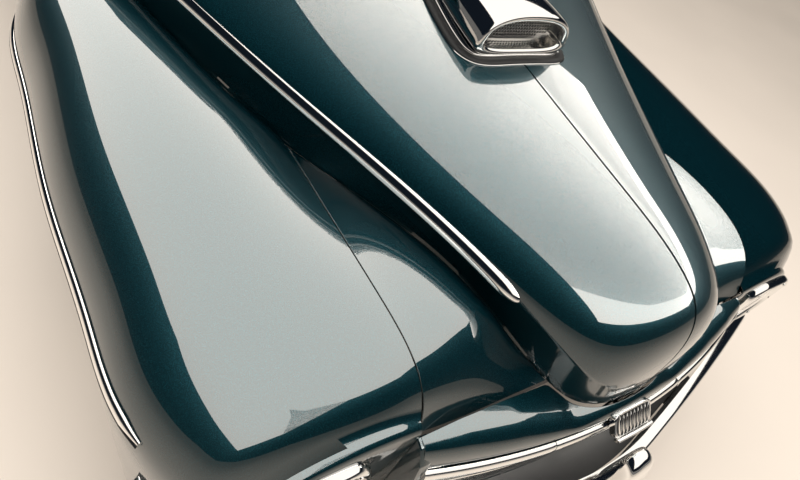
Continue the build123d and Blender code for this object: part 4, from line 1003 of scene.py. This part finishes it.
screen_edge = scoop_ring(SCREEN_BACK, 2 * LIP - 1.0)[:, 1:]
inner_edge = scoop_ring(SCREEN_BACK, 2 * LIP + 6.0)[:, 1:]
by_height = inner_edge[np.argsort(inner_edge[:, 1])]
holes = []
for row in range(-6, 7):
    z = screen_edge[:, 1].mean() + row * HOLE_PITCH * 0.866
    for column in range(-15, 16):
        y = (column + 0.5 * (row % 2)) * HOLE_PITCH
        nearest = np.linalg.norm(inner_edge - (y, z), axis=1).min()
        inside = abs(y) < np.interp(z, by_height[:, 1], abs(by_height[:, 0]))
        if inside and nearest > HOLE_RADIUS + 1.0 and by_height[0, 1] < z < by_height[-1, 1]:
            holes.append(oval(HOLE_RADIUS, HOLE_RADIUS, 10) + (y, z))
screen = sheet_at("scoop_screen_plate", NOSE - SCREEN_BACK, screen_edge, SCREEN, holes)
settle(sheet_metal(screen, 1.4, 0.3, 1), "hood", ["scoop_screen"])
# A near-black sheet behind the screen: painted shade inside the scoop
backing = sheet_at("backing", NOSE - SCREEN_BACK - 7, screen_edge, DARK)

# The gasket's loop in plan, followed over the hood
loop = [(-690.0, 0.0), (-690.0, 90.0), (-697.0, 128.0), (-722.0, 145.0)]
loop += [(-b, 0.5 * w * 1.1 + 3.0) for b, w, h in rows_at(SCOOP_ROWS, np.linspace(760, 1150, 12))]
loop += [(-1190.0, 30.0), (-1200.0, 0.0)]
loop = even(np.array(loop + [(x, -y) for x, y in loop[-2:0:-1]] + [loop[0]]), 241)[:-1]
for _ in range(8):
    loop += (np.roll(loop, 1, axis=0) + np.roll(loop, -1, axis=0) - 2 * loop) / 4
loop_side = np.roll(loop, -1, axis=0) - np.roll(loop, 1, axis=0)
loop_side = unit(np.column_stack([-loop_side[:, 1], loop_side[:, 0], np.zeros(len(loop))]))
loop_side *= np.sign(loop_side[0, 0])


def collar(name, offset, profile, finish):
    """A closed strip round the scoop's base, lying on the hood."""
    line = np.column_stack([NOSE + loop[:, 0], loop[:, 1]]) + loop_side[:, :2] * offset
    heights = [hood_height(NOSE - x, y) for x, y in line]
    line = np.column_stack([line, heights])
    return tube(name, line, loop_side, (0, 0, 1), profile, finish, closed=True)


gasket_profile = [(-11, -3), (-11, 3.5), (-8, 6), (6, 6), (10, 4.2), (11, 2), (11, -3)]
gasket = collar("gasket", 10.0, gasket_profile, RUBBER)
flange = collar("flange", -6.0, [(-16, -3), (-16, 9), (2, 9), (4.5, 8), (5.5, 6), (5.5, -3)], CHROME)
bright = collar("bright", 22.0, [(-1.4, -2), (-1.2, 2.0), (0, 2.8), (1.2, 2.0), (1.4, -2)], CHROME)
scoop_parts = [shell, backing, gasket, flange, bright]

# A small pocket beside the mouth; its inner layer is near-black, painted shade in the pocket's hollow
POCKET = (NOSE - 706.0, 124.0, hood_height(704, 124.0))
POCKET_LAYERS = ((11.0, 5.0, 12.5, CHROME), (8.6, 3.4, 12.9, DARK))
for a, b, rise, finish in POCKET_LAYERS:
    flat = np.column_stack([oval(a, b, 28, 0.75), np.zeros(28)])
    rings = [flat * size + POCKET + (0, 0, z) for size, z in
             (((0.9, 1, 1), 0.0), ((0.9, 1, 1), rise), ((0.8, 0.9, 1), rise + 0.8))]
    scoop_parts.append(loft("pocket", rings, finish, 38.0))
settle(joined("scoop_body", scoop_parts), "hood", ["hood_scoop"])

# Wheels: tyres with grooves and a white band, dished discs and domed caps

def turned(name, profile, place, finish, side=1, segments=40, sharp=35.0):
    """A piece turned about an axle along y: profile points are (outward y, radius)."""
    outward_y, radius = np.array(profile, float).T
    turn = np.linspace(0, 2 * pi, segments, endpoint=False)[:, None]
    points = np.stack([radius * np.cos(turn), outward_y * side + 0 * turn, radius * np.sin(turn)], axis=2)
    count = len(profile)
    faces = []
    for i in range(segments):
        here, there = i * count, (i + 1) % segments * count
        faces += [(here + j, here + j + 1, there + j + 1, there + j) for j in range(count - 1)]
    return outward(mesh_object(name, (points + place).reshape(-1, 3), faces, finish, sharp))


def white_band(tyre, place, side, low=226, high=306):
    """Paint the outer wall of a tyre white between two radii."""
    tyre.data.materials.append(WALL_WHITE)
    for polygon in tyre.data.polygons:
        x, y, z = polygon.center / MM - Vector(place)
        if y * side > 40 and low < hypot(x, z) < high:
            polygon.material_index = 1
    return tyre


TYRE = [
    # outward, radius
    (-62, 193), (-80, 225), (-85, 275), (-80, 325), (-70, 346), (-46, 357), (-45, 351), (-41, 351),
    (-40, 358.5), (-2, 360), (-1.5, 353), (1.5, 353), (2, 360), (40, 358.5), (41, 351), (45, 351), (46, 357),
    (70, 346), (80, 325), (83, 300), (84, 268), (80, 232), (62, 193),
]
DISC = [
    # outward, radius
    (-62, 196), (-66, 202), (-60, 201), (-54, 191), (-20, 187), (20, 187), (54, 191), (60, 201), (66, 202),
    (64, 196), (56, 187), (40, 182), (32, 174), (26, 160), (22, 140), (30, 110), (36, 70), (36, 40),
]
RIM_RING = [(66, 199), (70, 203), (69, 208), (63, 207), (60, 203)]
CAP = [
    # outward, radius
    (34, 122), (40, 124), (45, 119), (48, 108), (60, 96), (69, 74), (73, 50), (75, 30), (79, 26), (82, 16),
    (83, 0.3),
]
HUB = [(2, 30), (2, 92), (14, 96), (26, 92), (28, 30)]
NUT = [(34, 9.5), (46, 9.5), (48, 7), (48, 0.2)]
for end, axle_x, track in WHEEL_PLACES:
    for side_name, side in SIDES:
        place = (axle_x, track * side, TYRE_RADIUS)
        label = f"{end}_{side_name}"
        tyre = turned(f"tyre_{label}_rubber", TYRE, place, TREAD, side, 34)
        settle(white_band(tyre, place, side), f"{label}_wheel", [f"tyre_{label}"])
        parts = [turned("disc", DISC, place, PAINT, side, 72)]
        parts.append(turned("ring", RIM_RING, place, CHROME, side, 72))
        parts.append(turned("cap", CAP, place, CHROME, side, 64))
        valve = np.add(place, [(0, (44 + 5 * k) * side, 168 - 2 * k) for k in range(5)])
        parts.append(tube("valve", valve, (1, 0, 0), (0, 0, 1), oval(3.0, 3.0, 12), RUBBER))
        parts.append(turned("hub", HUB, place, IRON, side, 40))
        for turn in np.linspace(0, 2 * pi, 5, endpoint=False):
            spot = (place[0] + 57 * cos(turn), place[1], place[2] + 57 * sin(turn))
            parts.append(turned("nut", NUT, spot, STEEL, side, 6, 20))
        settle(joined(f"wheel_{label}_disc", parts), f"{label}_wheel", [f"wheel_{label}"])

# Trim laid on the body's own surfaces

def landed(node, starts, aim):
    """Where rays from some starts first meet a CAD node, and the surface's directions there."""
    found, outs = [], []
    for start in starts:
        hit, spot, normal, _ = frame["nodes"][node].ray_cast(Vector(start) * MM, Vector(aim))
        if hit:
            found.append(np.array(spot) / MM)
            outs.append(np.array(normal) * (1 if normal.dot(Vector(aim)) < 0 else -1))
    return np.array(found), np.array(outs)


def from_side(node, side, spots):
    """Where spots (x, z) land on the outer side of a CAD node."""
    return landed(node, [(x, 1200.0 * side, z) for x, z in spots], (0, -side, 0))


def from_above(node, spots):
    """Where spots (x, y) land on the top of a CAD node."""
    return landed(node, [(x, y, 2000.0) for x, y in spots], (0, 0, -1))


def grown(outline, amount):
    """A closed outline moved outwards."""
    side_step = np.roll(outline, -1, axis=0) - np.roll(outline, 1, axis=0)
    normal = unit(np.column_stack([side_step[:, 1], -side_step[:, 0]]))
    facing_out = ((outline - outline.mean(axis=0)) * normal).sum() > 0
    return outline + normal * (amount if facing_out else -amount)


def frame_strip(name, line, outs, profile, finish=CHROME):
    """A closed strip along a loop of points with their outward directions."""
    for _ in range(4):
        outs = unit(outs + (np.roll(outs, 1, axis=0) + np.roll(outs, -1, axis=0)) / 2)
    run = unit(np.roll(line, -1, axis=0) - np.roll(line, 1, axis=0))
    return tube(name, line, np.cross(outs, run), outs, profile, finish, closed=True)


def loop_points(outline, radius, grow, spacing=18.0):
    """A rounded loop, moved outwards, in even steps."""
    line = grown(rounded(outline, radius), grow)
    line = np.concatenate([line, line[:1]])
    length = np.linalg.norm(np.diff(line, axis=0), axis=1).sum()
    return even(line, int(length / spacing) + 1)[:-1]


DOOR_WINDOW = ((692.0, 1035.0), (470.0, 1339.0), (-215.0, 1339.0), (-235.0, 1035.0))
QUARTER_WINDOW = ((-360.0, 1035.0), (-350.0, 1330.0), (-640.0, 1300.0), (-900.0, 1140.0), (-900.0, 1035.0))
REAR_WINDOW = ((-1330.0, 370.0), (-1330.0, -370.0), (-1700.0, -330.0), (-1700.0, 330.0))
TRIM = dome_profile(8.0, 5.0, 4.0, 9)


def window_trim(name, body, lay, strip_loop, seal_loop, seal_size):
    """A bright frame and a rubber seal round a window. lay sets a flat loop and a lift on its surface."""
    parts = [frame_strip("strip", *lay(strip_loop, 0.5), TRIM),
             frame_strip("seal", *lay(seal_loop, -2.0), dome_profile(*seal_size, 7), RUBBER)]
    settle(joined(name, parts), body)


for side_name, side in SIDES:
    for label, outline, node, body in (
            ("door", DOOR_WINDOW, f"door_{side_name}", f"{side_name}_door"),
            ("quarter", QUARTER_WINDOW, "body_sides", "root")):
        seal_loop = grown(loop_points(outline, 34.0, 1.0), 1.5)
        window_trim(f"{label}_window_trim_{side_name}", body, lambda loop, lift: from_side(node, side, loop),
                    loop_points(outline, 40.0, 10.0), seal_loop, (3.5, 2.5, 12.0))
window_trim("rear_window_trim", "root", lambda loop, lift: from_above("roof_panel", loop),
            loop_points(REAR_WINDOW, 62.0, 10.0), loop_points(REAR_WINDOW, 60.0, 2.5), (4.0, 2.5, 12.0))

# Windshield surrounds and wipers, on the planes of the two panes
PANE_LEAN, PANE_VEE = radians(38.0), radians(12.0)
PANE_FOOT = np.array((1005.0, 0.0, 1060.0))
wiper_parts = []
for side_name, side in SIDES:
    normal = np.array((cos(PANE_VEE), sin(PANE_VEE) * side, tan(PANE_LEAN))) * cos(PANE_LEAN)
    along = np.array((-sin(PANE_VEE) * side, cos(PANE_VEE), 0.0))
    upward = np.cross(normal, along)

    def on_pane(loop, lift):
        """A loop (along, up) on the pane's plane, and the plane's direction at each point."""
        line = PANE_FOOT + loop[:, :1] * along + loop[:, 1:] * upward + normal * lift
        return line, np.tile(normal, (len(line), 1))

    outline = [(24 * side, 40), (712 * side, 40), (636 * side, 470), (24 * side, 492)]
    window_trim(f"windshield_trim_{side_name}", "root", on_pane, loop_points(outline, 22.0, 8.0, 14.0),
                loop_points(outline, 22.0, 1.0, 14.0), (4.5, 3.0, 16.0))
    pivot = PANE_FOOT + along * 330 * side + upward * 12 + normal * 6
    tip = PANE_FOOT + along * 130 * side + upward * 330 - normal
    way = unit(tip - pivot)
    across = np.cross(normal, way)
    share = np.linspace(0, 1, 14)[:, None]
    arm_line = pivot + (tip - pivot) * share + normal * 14 * np.sin(pi * share).clip(0) ** 0.8
    wiper_parts += [
        tube("arm", arm_line, across, normal, oval(4.0, 2.2, 12), CHROME, np.linspace(1.5, 0.8, 14)),
        tube("blade", np.linspace(tip - way * 170, tip + way * 120, 10) - normal * 9, across, normal,
             oval(2.6, 6.5, 12), RUBBER),
        turned("boss", [(-2, 14), (8, 13), (14, 9), (16, 0.3)], pivot - normal * 2, CHROME, 1, 20),
    ]
settle(joined("wipers", wiper_parts), "root")


def stud(name, foot, way, steps, across, out, size, finish=CHROME, scale=None):
    """A short round piece that stands out from its foot by some steps."""
    return tube(name, [foot + way * step for step in steps], across, out, oval(*size), finish, scale)


# Mouldings on the doors, the sides and the rear fenders, then the door handles and locks
HANDLE_SPOTS = [(x, 908.0) for x in (-250, -215, -180, -145, -110)]
for side_name, side in SIDES:
    for label, node, body, start, end in (
            ("door", f"door_{side_name}", f"{side_name}_door", 941.0, -292.0),
            ("quarter", "body_sides", "root", -312.0, -612.0),
            ("rear_fender", "rear_fenders", "root", -690.0, -2330.0)):
        line, outs = from_side(node, side, [(x, MOULDING_Z) for x in np.arange(start, end, -26.0)])
        outs = unit(outs * (1, 1, 0))
        moulding(f"{label}_moulding_{side_name}", softened(line, 3), softened(outs, 12), body)
    line, outs = from_side(f"door_{side_name}", side, HANDLE_SPOTS)
    out = unit(outs.mean(axis=0))
    start, end = line[0], line[-1]
    reach = np.linspace(0, 1, 22)
    lift = 4 + 26 * np.sin(pi * np.minimum(reach * 1.15, 1.0)).clip(0) ** 0.5
    grip = start + (end - start) * reach[:, None] + out * lift[:, None]
    width = 0.75 + 0.35 * np.sin(pi * reach)
    parts = [tube("handle", grip, (0, 0, 1), out, oval(10.0, 5.5, 20, 0.8), CHROME, width),
             stud("lock", start + (20.0, 0, -38), out, (-3, 6, 7), (0, 0, 1), (1, 0, 0), (8.0, 8.0), CHROME,
                  (1, 1, 0.8))]
    for foot, size in ((start, 15.0), (end, 12.0)):
        parts.append(stud("foot", foot, out, (-4, 3, 6, 7.5), (0, 0, 1), (1, 0, 0), (size, size * 1.15),
                          CHROME, (1, 1, 0.86, 0.5)))
    settle(joined(f"door_handle_{side_name}", parts), f"{side_name}_door")

# Tail lamps, the blank plate and the trunk's handle
circle = oval(1.0, 1.0, 64)
tail_rim = rings_of(circle, (-2442, 40), (-2440, 46), (-2458, 46), (-2466, 44), (-2468, 40), (-2464, 37),
                    (-2446, 37))
tail_lens = rings_of(circle, (-2446, 36.5)) + dome_rings(circle, -2464, -22, 36.8, 0, 9)
tail_bulb = rings_of(circle, (-2447, 6), (-2470, 6), (-2476, 3))
for side_name, side in SIDES:
    place = (618.0 * side, 592.0)
    parts = [facing("rim", tail_rim, place, CHROME), facing("lens", tail_lens, place, RED, cap=True),
             facing("bulb", tail_bulb, place, IVORY, cap=True)]
    settle(joined(f"tail_lamp_{side_name}", parts), "root", ["tail_lamps"])
plate_outline = rounded([(-152.0, 524.0), (152.0, 524.0), (152.0, 676.0), (-152.0, 676.0)], 14.0)
plate = sheet_metal(sheet_at("plate", -2442.5, plate_outline, PLATE), 1.6, 0.5, 2)
rim_line = at_x(-2443.0, even(np.vstack([plate_outline, plate_outline[:1]]), 120)[:-1])
plate_rim = frame_strip("rim", rim_line, np.tile((-1.0, 0, 0), (119, 1)), dome_profile(3.0, 2.5, 1.0, 7))
bolt_rings = rings_of(oval(1.0, 1.0, 6), (-2440, 6), (-2447, 6), (-2448, 5))
bolts = [facing("bolt", bolt_rings, (y, z), STEEL, True, 20) for y in (-89, 89) for z in (539.5, 660.5)]
settle(joined("rear_plate_blank", [plate, plate_rim] + bolts), "root")
line, outs = from_above("trunk_lid", [(x, 0.0) for x in (-2190, -2230, -2270)])
out = unit(outs.mean(axis=0))
way = np.cross(out, (0, 1, 0))
grip = [line[1] + (0, y, 0) + out * (3 + 22 * (1 - (y / 75.0) ** 4)) for y in np.linspace(-75, 75, 24)]
grip_scale = 0.8 + 0.3 * np.cos(np.linspace(-1.4, 1.4, 24))
parts = [tube("grip", grip, way, out, oval(9.0, 5.0, 18), CHROME, grip_scale)]
for y in (-74, 74):
    parts.append(stud("pad", line[1] + (0, y, 0), out, (-4, 3, 6), (0, 1, 0), way, (13.0, 12.0, 20), CHROME,
                      (1, 1, 0.8)))
settle(joined("trunk_handle", parts), "trunk")

# Rear bumper with its arms and two overriders
parts = [bumper_bar("rear_bar", 2600.0, REAR_BENDS, -1)] + bumper_arms(-2331.0, -2450.0, -2535.0)
for y in (-300.0, 300.0):
    x = 4.0 - bowed_x(2600.0, 900.0, 94.0, 0.12, y)
    swell = np.sqrt(np.sin(np.linspace(0.12, pi - 0.12, 16)))
    parts.append(tube("overrider", np.linspace((x, y, 322.0), (x, y, 478.0), 16), (0, 1, 0), (-1, 0, 0),
                      oval(21.0, 4.0, 24, 0.7), CHROME, swell))
settle(joined("bumper_bar_rear", parts), "root", ["rear_bumper"])

# Seats: cushions blown up as cloth with sewn channels, on plain bases

def block(name, low, high, finish, edge, segments):
    """A box between two corners, with a rounding of its edges that isn't in its mesh yet."""
    picks = [(a, b, c) for a in (0, 1) for b in (0, 1) for c in (0, 1)]
    corners = [[(low, high)[pick][axis] for axis, pick in enumerate(spot)] for spot in picks]
    faces = [(0, 1, 3, 2), (4, 6, 7, 5), (0, 4, 5, 1), (2, 3, 7, 6), (0, 2, 6, 4), (1, 5, 7, 3)]
    made = outward(mesh_object(name, corners, faces, finish))
    rounding = made.modifiers.new("rounding", "BEVEL")
    rounding.width, rounding.segments = edge * MM, segments
    return made


CUSHION_MARGIN = 9.0             # left free on every side for the swelling
STITCH_REACH = 8.0               # half width of a sewn line
STITCH_DEPTH = 5.0
CLOTH_STEPS = 20


def cushion(name, size, middle, lean, replaces, channels=7, swell=20.0):
    """A sewn cushion in millimetres: its length, width and thickness, its middle and its lean about y."""
    half = np.array(size) / 2 - CUSHION_MARGIN
    pad = block(name, -half, half, CLOTH, 34.0, 4)
    voxels = pad.modifiers.new("voxels", "REMESH")
    voxels.mode, voxels.voxel_size = "VOXEL", 15.0 * MM
    baked(pad, 180)
    mesh = pad.data
    rest = np.array([v.co[:] for v in mesh.vertices]) / MM
    lines = np.linspace(-half[1], half[1], channels + 1)[1:-1]
    across = np.abs(rest[:, 1:2] - lines[None]).min(axis=1)
    on_top = (rest[:, 2] > half[2] - 6.0) & (np.abs(rest[:, 0]) < half[0] - 40.0)
    sewn = np.flatnonzero(on_top & (across < STITCH_REACH))
    pins = pad.vertex_groups.new(name="sewn")
    pins.add([int(i) for i in sewn], 1.0, "REPLACE")
    cloth = pad.modifiers.new("air", "CLOTH")
    cloth.settings.quality = 5
    cloth.settings.mass = 0.3
    cloth.settings.tension_stiffness = cloth.settings.compression_stiffness = 12.0
    cloth.settings.shear_stiffness = 4.0
    cloth.settings.bending_stiffness = 0.4
    cloth.settings.use_pressure = True
    cloth.settings.uniform_pressure_force = 4.0
    cloth.settings.vertex_group_mass = "sewn"
    cloth.settings.effector_weights.gravity = 0.0
    for step in range(1, CLOTH_STEPS + 1):
        bpy.context.scene.frame_set(step)
    settled = pad.evaluated_get(bpy.context.evaluated_depsgraph_get())
    moved = np.array([v.co[:] for v in settled.data.vertices]) / MM
    pad.modifiers.clear()
    bpy.context.scene.frame_set(1)
    change = moved - rest
    reach = np.linalg.norm(change, axis=1)[:, None]
    moved = rest + change * np.minimum(1.0, swell / np.maximum(reach, 1e-6))
    moved[sewn, 2] -= STITCH_DEPTH
    turn = Matrix.Rotation(radians(lean), 4, "Y")
    for vertex, place in zip(mesh.vertices, moved):
        vertex.co = (turn @ Vector(place) + Vector(middle)) * MM
    mesh.update()
    subdivided(pad, 1, 180)
    # A cord round the upper edge, laid on the finished pad
    loop = even(np.vstack([rounded([(-1, -1), (1, -1), (1, 1), (-1, 1)], 0.12)] * 2)[:29], 121)[:-1]
    spots, outs = [], []
    for a, b in loop:
        near = np.array((a * half[0], b * half[1], half[2] - 16.0))
        away = np.array((a * (abs(a) > 0.97), b * (abs(b) > 0.97), 0.0))
        away = away if away.any() else np.array((a, b, 0.0))
        away /= np.linalg.norm(away)
        start = (turn @ Vector(near + away * 120) + Vector(middle)) * MM
        hit, spot, _, _ = pad.ray_cast(start, turn @ Vector(-away))
        if hit:
            spots.append(np.array(spot) / MM)
            outs.append(np.array(turn @ Vector(away)))
    spots, outs = softened(np.array(spots), 2), np.array(outs)
    cord = tube("cord", spots, np.tile(np.array(turn @ Vector((0, 0, 1))), (len(spots), 1)), outs,
                oval(4.2, 4.2, 10), LINING, closed=True)
    settle(cord, "root", replaces)
    cord.name = f"{name}_cord"
    settle(pad, "root", replaces)
    return pad


BENCHES = (
    # node, front, base, top, depth, top of the back, half width, height of the plinth
    ("front_seat", 345.0, 484.3, 720.0, 485.0, 1130.0, 640.0, 66.0),
    ("rear_seat", -505.0, 580.3, 730.0, 420.0, 1080.0, 560.0, 30.0),
)
for bench, front, base, top, depth, back_top, width, foot_room in BENCHES:
    thick = top - base - foot_room
    for side_name, side in SIDES:
        y = side * (width / 2 + 2.0)
        cushion(f"{bench}_cushion_{side_name}", (depth + 20.0, width - 6.0, thick),
                (front - (depth + 20.0) / 2 - 4.0, y, top - thick / 2 - 6.0), -3.0, [bench])
        cushion(f"{bench}_back_{side_name}", (back_top - top + 60.0, width - 6.0, 120.0),
                (front - depth - 118.0, y, (back_top + top) / 2 - 34.0), 75.0, [bench])
    low, high = (front - depth - 20, -width + 26, base), (front - 34, width - 26, top - thick - 2)
    plinth = baked(block("plinth", low, high, DARK, 12.0, 3))
    foot = back_top - 26.0
    shell_line = [(front - depth - 168.0, 0.0, base), (front - depth - 184.0, 0.0, (base + foot) / 2),
                  (front - depth - 214.0, 0.0, foot)]
    shell = tube("shell", shell_line, (0, 1, 0), (-1, 0, 0), oval(width - 10.0, 12.0, 48, 0.2), LINING)
    settle(joined(f"{bench}_frame", [plinth, shell]), "root", [bench])

# Dashboard dials, radio grille and knobs, then the doors' inner handles
DIAL_Z = 852.0
dash_parts = []


def spoke(name, x, y, turn, inner, outer, half, finish, scale=None):
    """A thin mark on a dial, from one radius to another."""
    line = [(x, y + r * cos(turn), DIAL_Z + r * sin(turn)) for r in (inner, outer)]
    return tube(name, line, (0, -sin(turn), cos(turn)), (-1, 0, 0), oval(*half, 6), finish, scale)


circle = oval(1.0, 1.0, 48)
rim_rings = rings_of(circle, (743, 50), (730, 53), (724, 50), (728, 46), (738, 45))
dial_rings = rings_of(circle, (741, 46), (734, 45.5), (733.6, 0.4))
boss_rings = rings_of(circle, (733, 5), (730, 4.4), (729.5, 0.3))
DIALS = (
    # y, number of ticks, angle of the first, step, angle and length of each needle
    (380.0, 21, 225, -13.5, ((205, 36),)),
    (-380.0, 12, 0, 30, ((60, 34), (150, 24))),
)
for y, ticks, first, step, needles in DIALS:
    dash_parts += [facing("rim", rim_rings, (y, DIAL_Z), CHROME),
                   facing("dial", dial_rings, (y, DIAL_Z), IVORY, cap=True)]
    for k in range(ticks):
        inner = 37 if k % 2 else 33
        dash_parts.append(spoke("tick", 733.0, y, radians(first + step * k), inner, 42, (0.9, 0.6), DARK))
    for turn, length in needles:
        dash_parts.append(spoke("needle", 731.8, y, radians(turn), -8, length, (1.5, 0.7), NEEDLE, (1, 0.5)))
    dash_parts.append(facing("boss", boss_rings, (y, DIAL_Z), DARK))
for z in np.linspace(816.0, 888.0, 7):
    x = 744.5 - (z - 800.0) * 0.095
    dash_parts.append(tube("slat", np.linspace((x, -170, z), (x, 170, z), 12), (0, 0, 1), (-1, 0, 0),
                           oval(3.4, 5.0, 10), CHROME))
knob_rings = rings_of(oval(1.0, 1.0, 24), (742, 5), (724, 5), (722, 11), (712, 12), (708, 9), (707.5, 0.3))
dash_parts += [facing("knob", knob_rings, (y, 830.0), IVORY) for y in (-230.0, -265.0, 230.0, 265.0)]
settle(joined("dash_fittings", dash_parts), "root")
DOOR_FITTINGS = (
    # name, x, z and the way that the lever points
    ("winder", 330.0, 800.0, (0.0, 0.0, -1.0)),
    ("handle", 60.0, 820.0, (1.0, 0.0, -0.12)),
)
for side_name, side in SIDES:
    inward = np.array((0.0, -side, 0.0))
    parts = []
    for label, x, z, way in DOOR_FITTINGS:
        foot = landed(f"door_{side_name}", [(x, 0.0, z)], -inward)[0][0]
        share = np.linspace(0, 1, 12)[:, None]
        run = foot + inward * (14 + 10 * np.sin(pi * share / 2)) + np.array(way) * 92 * share
        parts.append(stud("boss", foot, inward, (-4, 6, 10), (1, 0, 0), (0, 0, 1), (17, 17), CHROME,
                          (1, 1, 0.7)))
        parts.append(tube("lever", run, np.cross(way, inward), inward, oval(8.0, 4.0, 14), CHROME,
                          np.linspace(1.1, 0.8, 12)))
        if label == "winder":
            parts.append(stud("grip", run[-1], inward, (0, 4, 26, 30), (1, 0, 0), (0, 0, 1), (9, 9, 18),
                              IVORY, (0.7, 1, 1, 0.6)))
    settle(joined(f"door_fittings_{side_name}", parts), f"{side_name}_door")

# Slots of the CAD nodes that stay
FINISHES = {
    "body_paint": PAINT, "chrome": CHROME, "glass": GLASS, "lamp_red": RED, "screen": SCREEN,
    "frame_paint": IRON, "floor_paint": CARPET, "engine_paint": CAST, "radiator_metal": IRON,
    "exhaust_steel": STEEL, "knuckle_iron": IRON, "seat_cloth": CLOTH, "dash_paint": DASH,
    "wheel_plastic": IVORY, "tyre": TREAD, "wheel_paint": PAINT,
}
for subpart in frame["record"]["subparts"]:
    node = frame["nodes"][subpart["node"]]
    node.data.materials.clear()
    node.data.materials.append(FINISHES[subpart["material_slot"]])

# Stage, light and camera

def stage_plane(name, corners, finish):
    """A flat piece of the stage from corners in metres."""
    made = mesh_object(name, np.array(corners) / MM, [tuple(range(len(corners)))], finish)
    return made


def glow(name, color, strength):
    """A light-giving material that lets other light through."""
    made = bpy.data.materials.new(name)
    made.use_nodes = True
    nodes, links = made.node_tree.nodes, made.node_tree.links
    nodes.clear()
    light = nodes.new("ShaderNodeEmission")
    light.inputs["Color"].default_value = (*color, 1.0)
    light.inputs["Strength"].default_value = strength
    total = nodes.new("ShaderNodeAddShader")
    links.new(light.outputs[0], total.inputs[0])
    links.new(nodes.new("ShaderNodeBsdfTransparent").outputs[0], total.inputs[1])
    links.new(total.outputs[0], nodes.new("ShaderNodeOutputMaterial").inputs["Surface"])
    return made


floor = stage_plane("floor", ((-60, -60, 0), (60, -60, 0), (60, 60, 0), (-60, 60, 0)), FLOOR)


def softbox(name, corners, strength, receivers):
    """A bright panel that only the reflections of some pieces show."""
    made = stage_plane(name, corners, glow(name + "_glow", (1.0, 0.94, 0.86), strength))
    made.visible_camera = False
    made.visible_diffuse = False
    made.visible_shadow = False
    made.visible_transmission = False
    group = bpy.data.collections.new(name + "_receivers")
    for piece in receivers:
        group.objects.link(piece)
    made.light_linking.receiver_collection = group
    return made


shown = [o for o in bpy.context.scene.objects if o.type == "MESH" and o is not floor]
NEAR_NAMES = ("front_fender_right", "catwalk_right", "nose_fascia", "fender_face")
near = [o for o in shown if o.name.startswith(NEAR_NAMES)]
bright = [o for o in shown if o.data.materials and o.data.materials[0] in (CHROME, SCREEN)]
others = [o for o in shown if o not in near and o not in bright and "fender" not in o.name]
PANELS = (
    # name, height, strength, the pieces that show it and its corners in plan
    ("hood_panel", 3.0, 11.5, others, ((-0.6, 0.1), (-0.6, 5.0), (5.5, 4.2), (6.5, -2.1), (2.1, -0.76))),
    ("fender_panel", 3.0, 6.4, near, ((-4.0, -4.1), (1.0, -3.9), (2.6, -4.7), (9.0, -8.0), (6.6, -2.0),
                                      (4.0, 0.6), (3.8, 3.0), (-4.0, 6.0))),
    ("trim_panel", 3.1, 1.3, bright, ((-0.6, -0.4), (-0.6, 5.0), (5.5, 4.2), (6.5, -2.4), (2.1, -0.96))),
)
for name, height, strength, receivers, plan in PANELS:
    softbox(name, [(x, y, height) for x, y in plan], strength, receivers)
WALL_CORNERS = ((-9, -9), (9, -9), (9, 9), (-9, 9))
WALL_FOOT, WALL_TOP = 0.02, 2.4
WALL_STRENGTHS = (0.13, 0.18, 0.13, 0.18)
for index, start in enumerate(WALL_CORNERS):
    end = WALL_CORNERS[(index + 1) % 4]
    corners = ((*start, WALL_FOOT), (*end, WALL_FOOT), (*end, WALL_TOP), (*start, WALL_TOP))
    softbox(f"trim_wall_{index}", corners, WALL_STRENGTHS[index], bright)

ROOM_LIGHT = (0.62, 0.60, 0.57, 1.0)
ROOM_IN_GLOSS = (0.006, 0.009, 0.014, 1.0)
world = bpy.data.worlds.new("room")
bpy.context.scene.world = world
world.use_nodes = True
room, links = world.node_tree.nodes, world.node_tree.links
rays = room.new("ShaderNodeLightPath")
tone = room.new("ShaderNodeMix")
tone.data_type = "RGBA"
links.new(rays.outputs["Is Glossy Ray"], tone.inputs[0])
tone.inputs[6].default_value = ROOM_LIGHT
tone.inputs[7].default_value = ROOM_IN_GLOSS
links.new(tone.outputs[2], room["Background"].inputs["Color"])

LAMP_PLACE = Vector((1.6, -0.6, 4.6))
LAMP_AIM = Vector((1.4, -0.4, 0.0))
light = bpy.data.lights.new("overhead", "AREA")
light.shape = "RECTANGLE"
light.size, light.size_y = 7.0, 5.0
light.energy = 300.0
lamp = bpy.data.objects.new("overhead", light)
lamp.location = LAMP_PLACE
lamp.rotation_euler = (LAMP_AIM - LAMP_PLACE).to_track_quat("-Z", "Y").to_euler()
lamp.visible_glossy = False
bpy.context.scene.collection.objects.link(lamp)

# The camera solved for the photograph
CAMERA_PLACE = (2.56, -0.97, 1.57)
CAMERA_AXES = ((0.461, 0.836, 0.302), (-0.747, 0.181, 0.640), (0.479, -0.520, 0.707))
camera_data = bpy.data.cameras.new("camera")
camera_data.lens = 25.65
camera_data.sensor_width = 36.0
camera = bpy.data.objects.new("camera", camera_data)
bpy.context.scene.collection.objects.link(camera)
camera.matrix_world = Matrix.Translation(CAMERA_PLACE) @ Matrix(CAMERA_AXES).transposed().to_4x4()
bpy.context.scene.camera = camera
bpy.context.scene.view_settings.view_transform = "Standard"
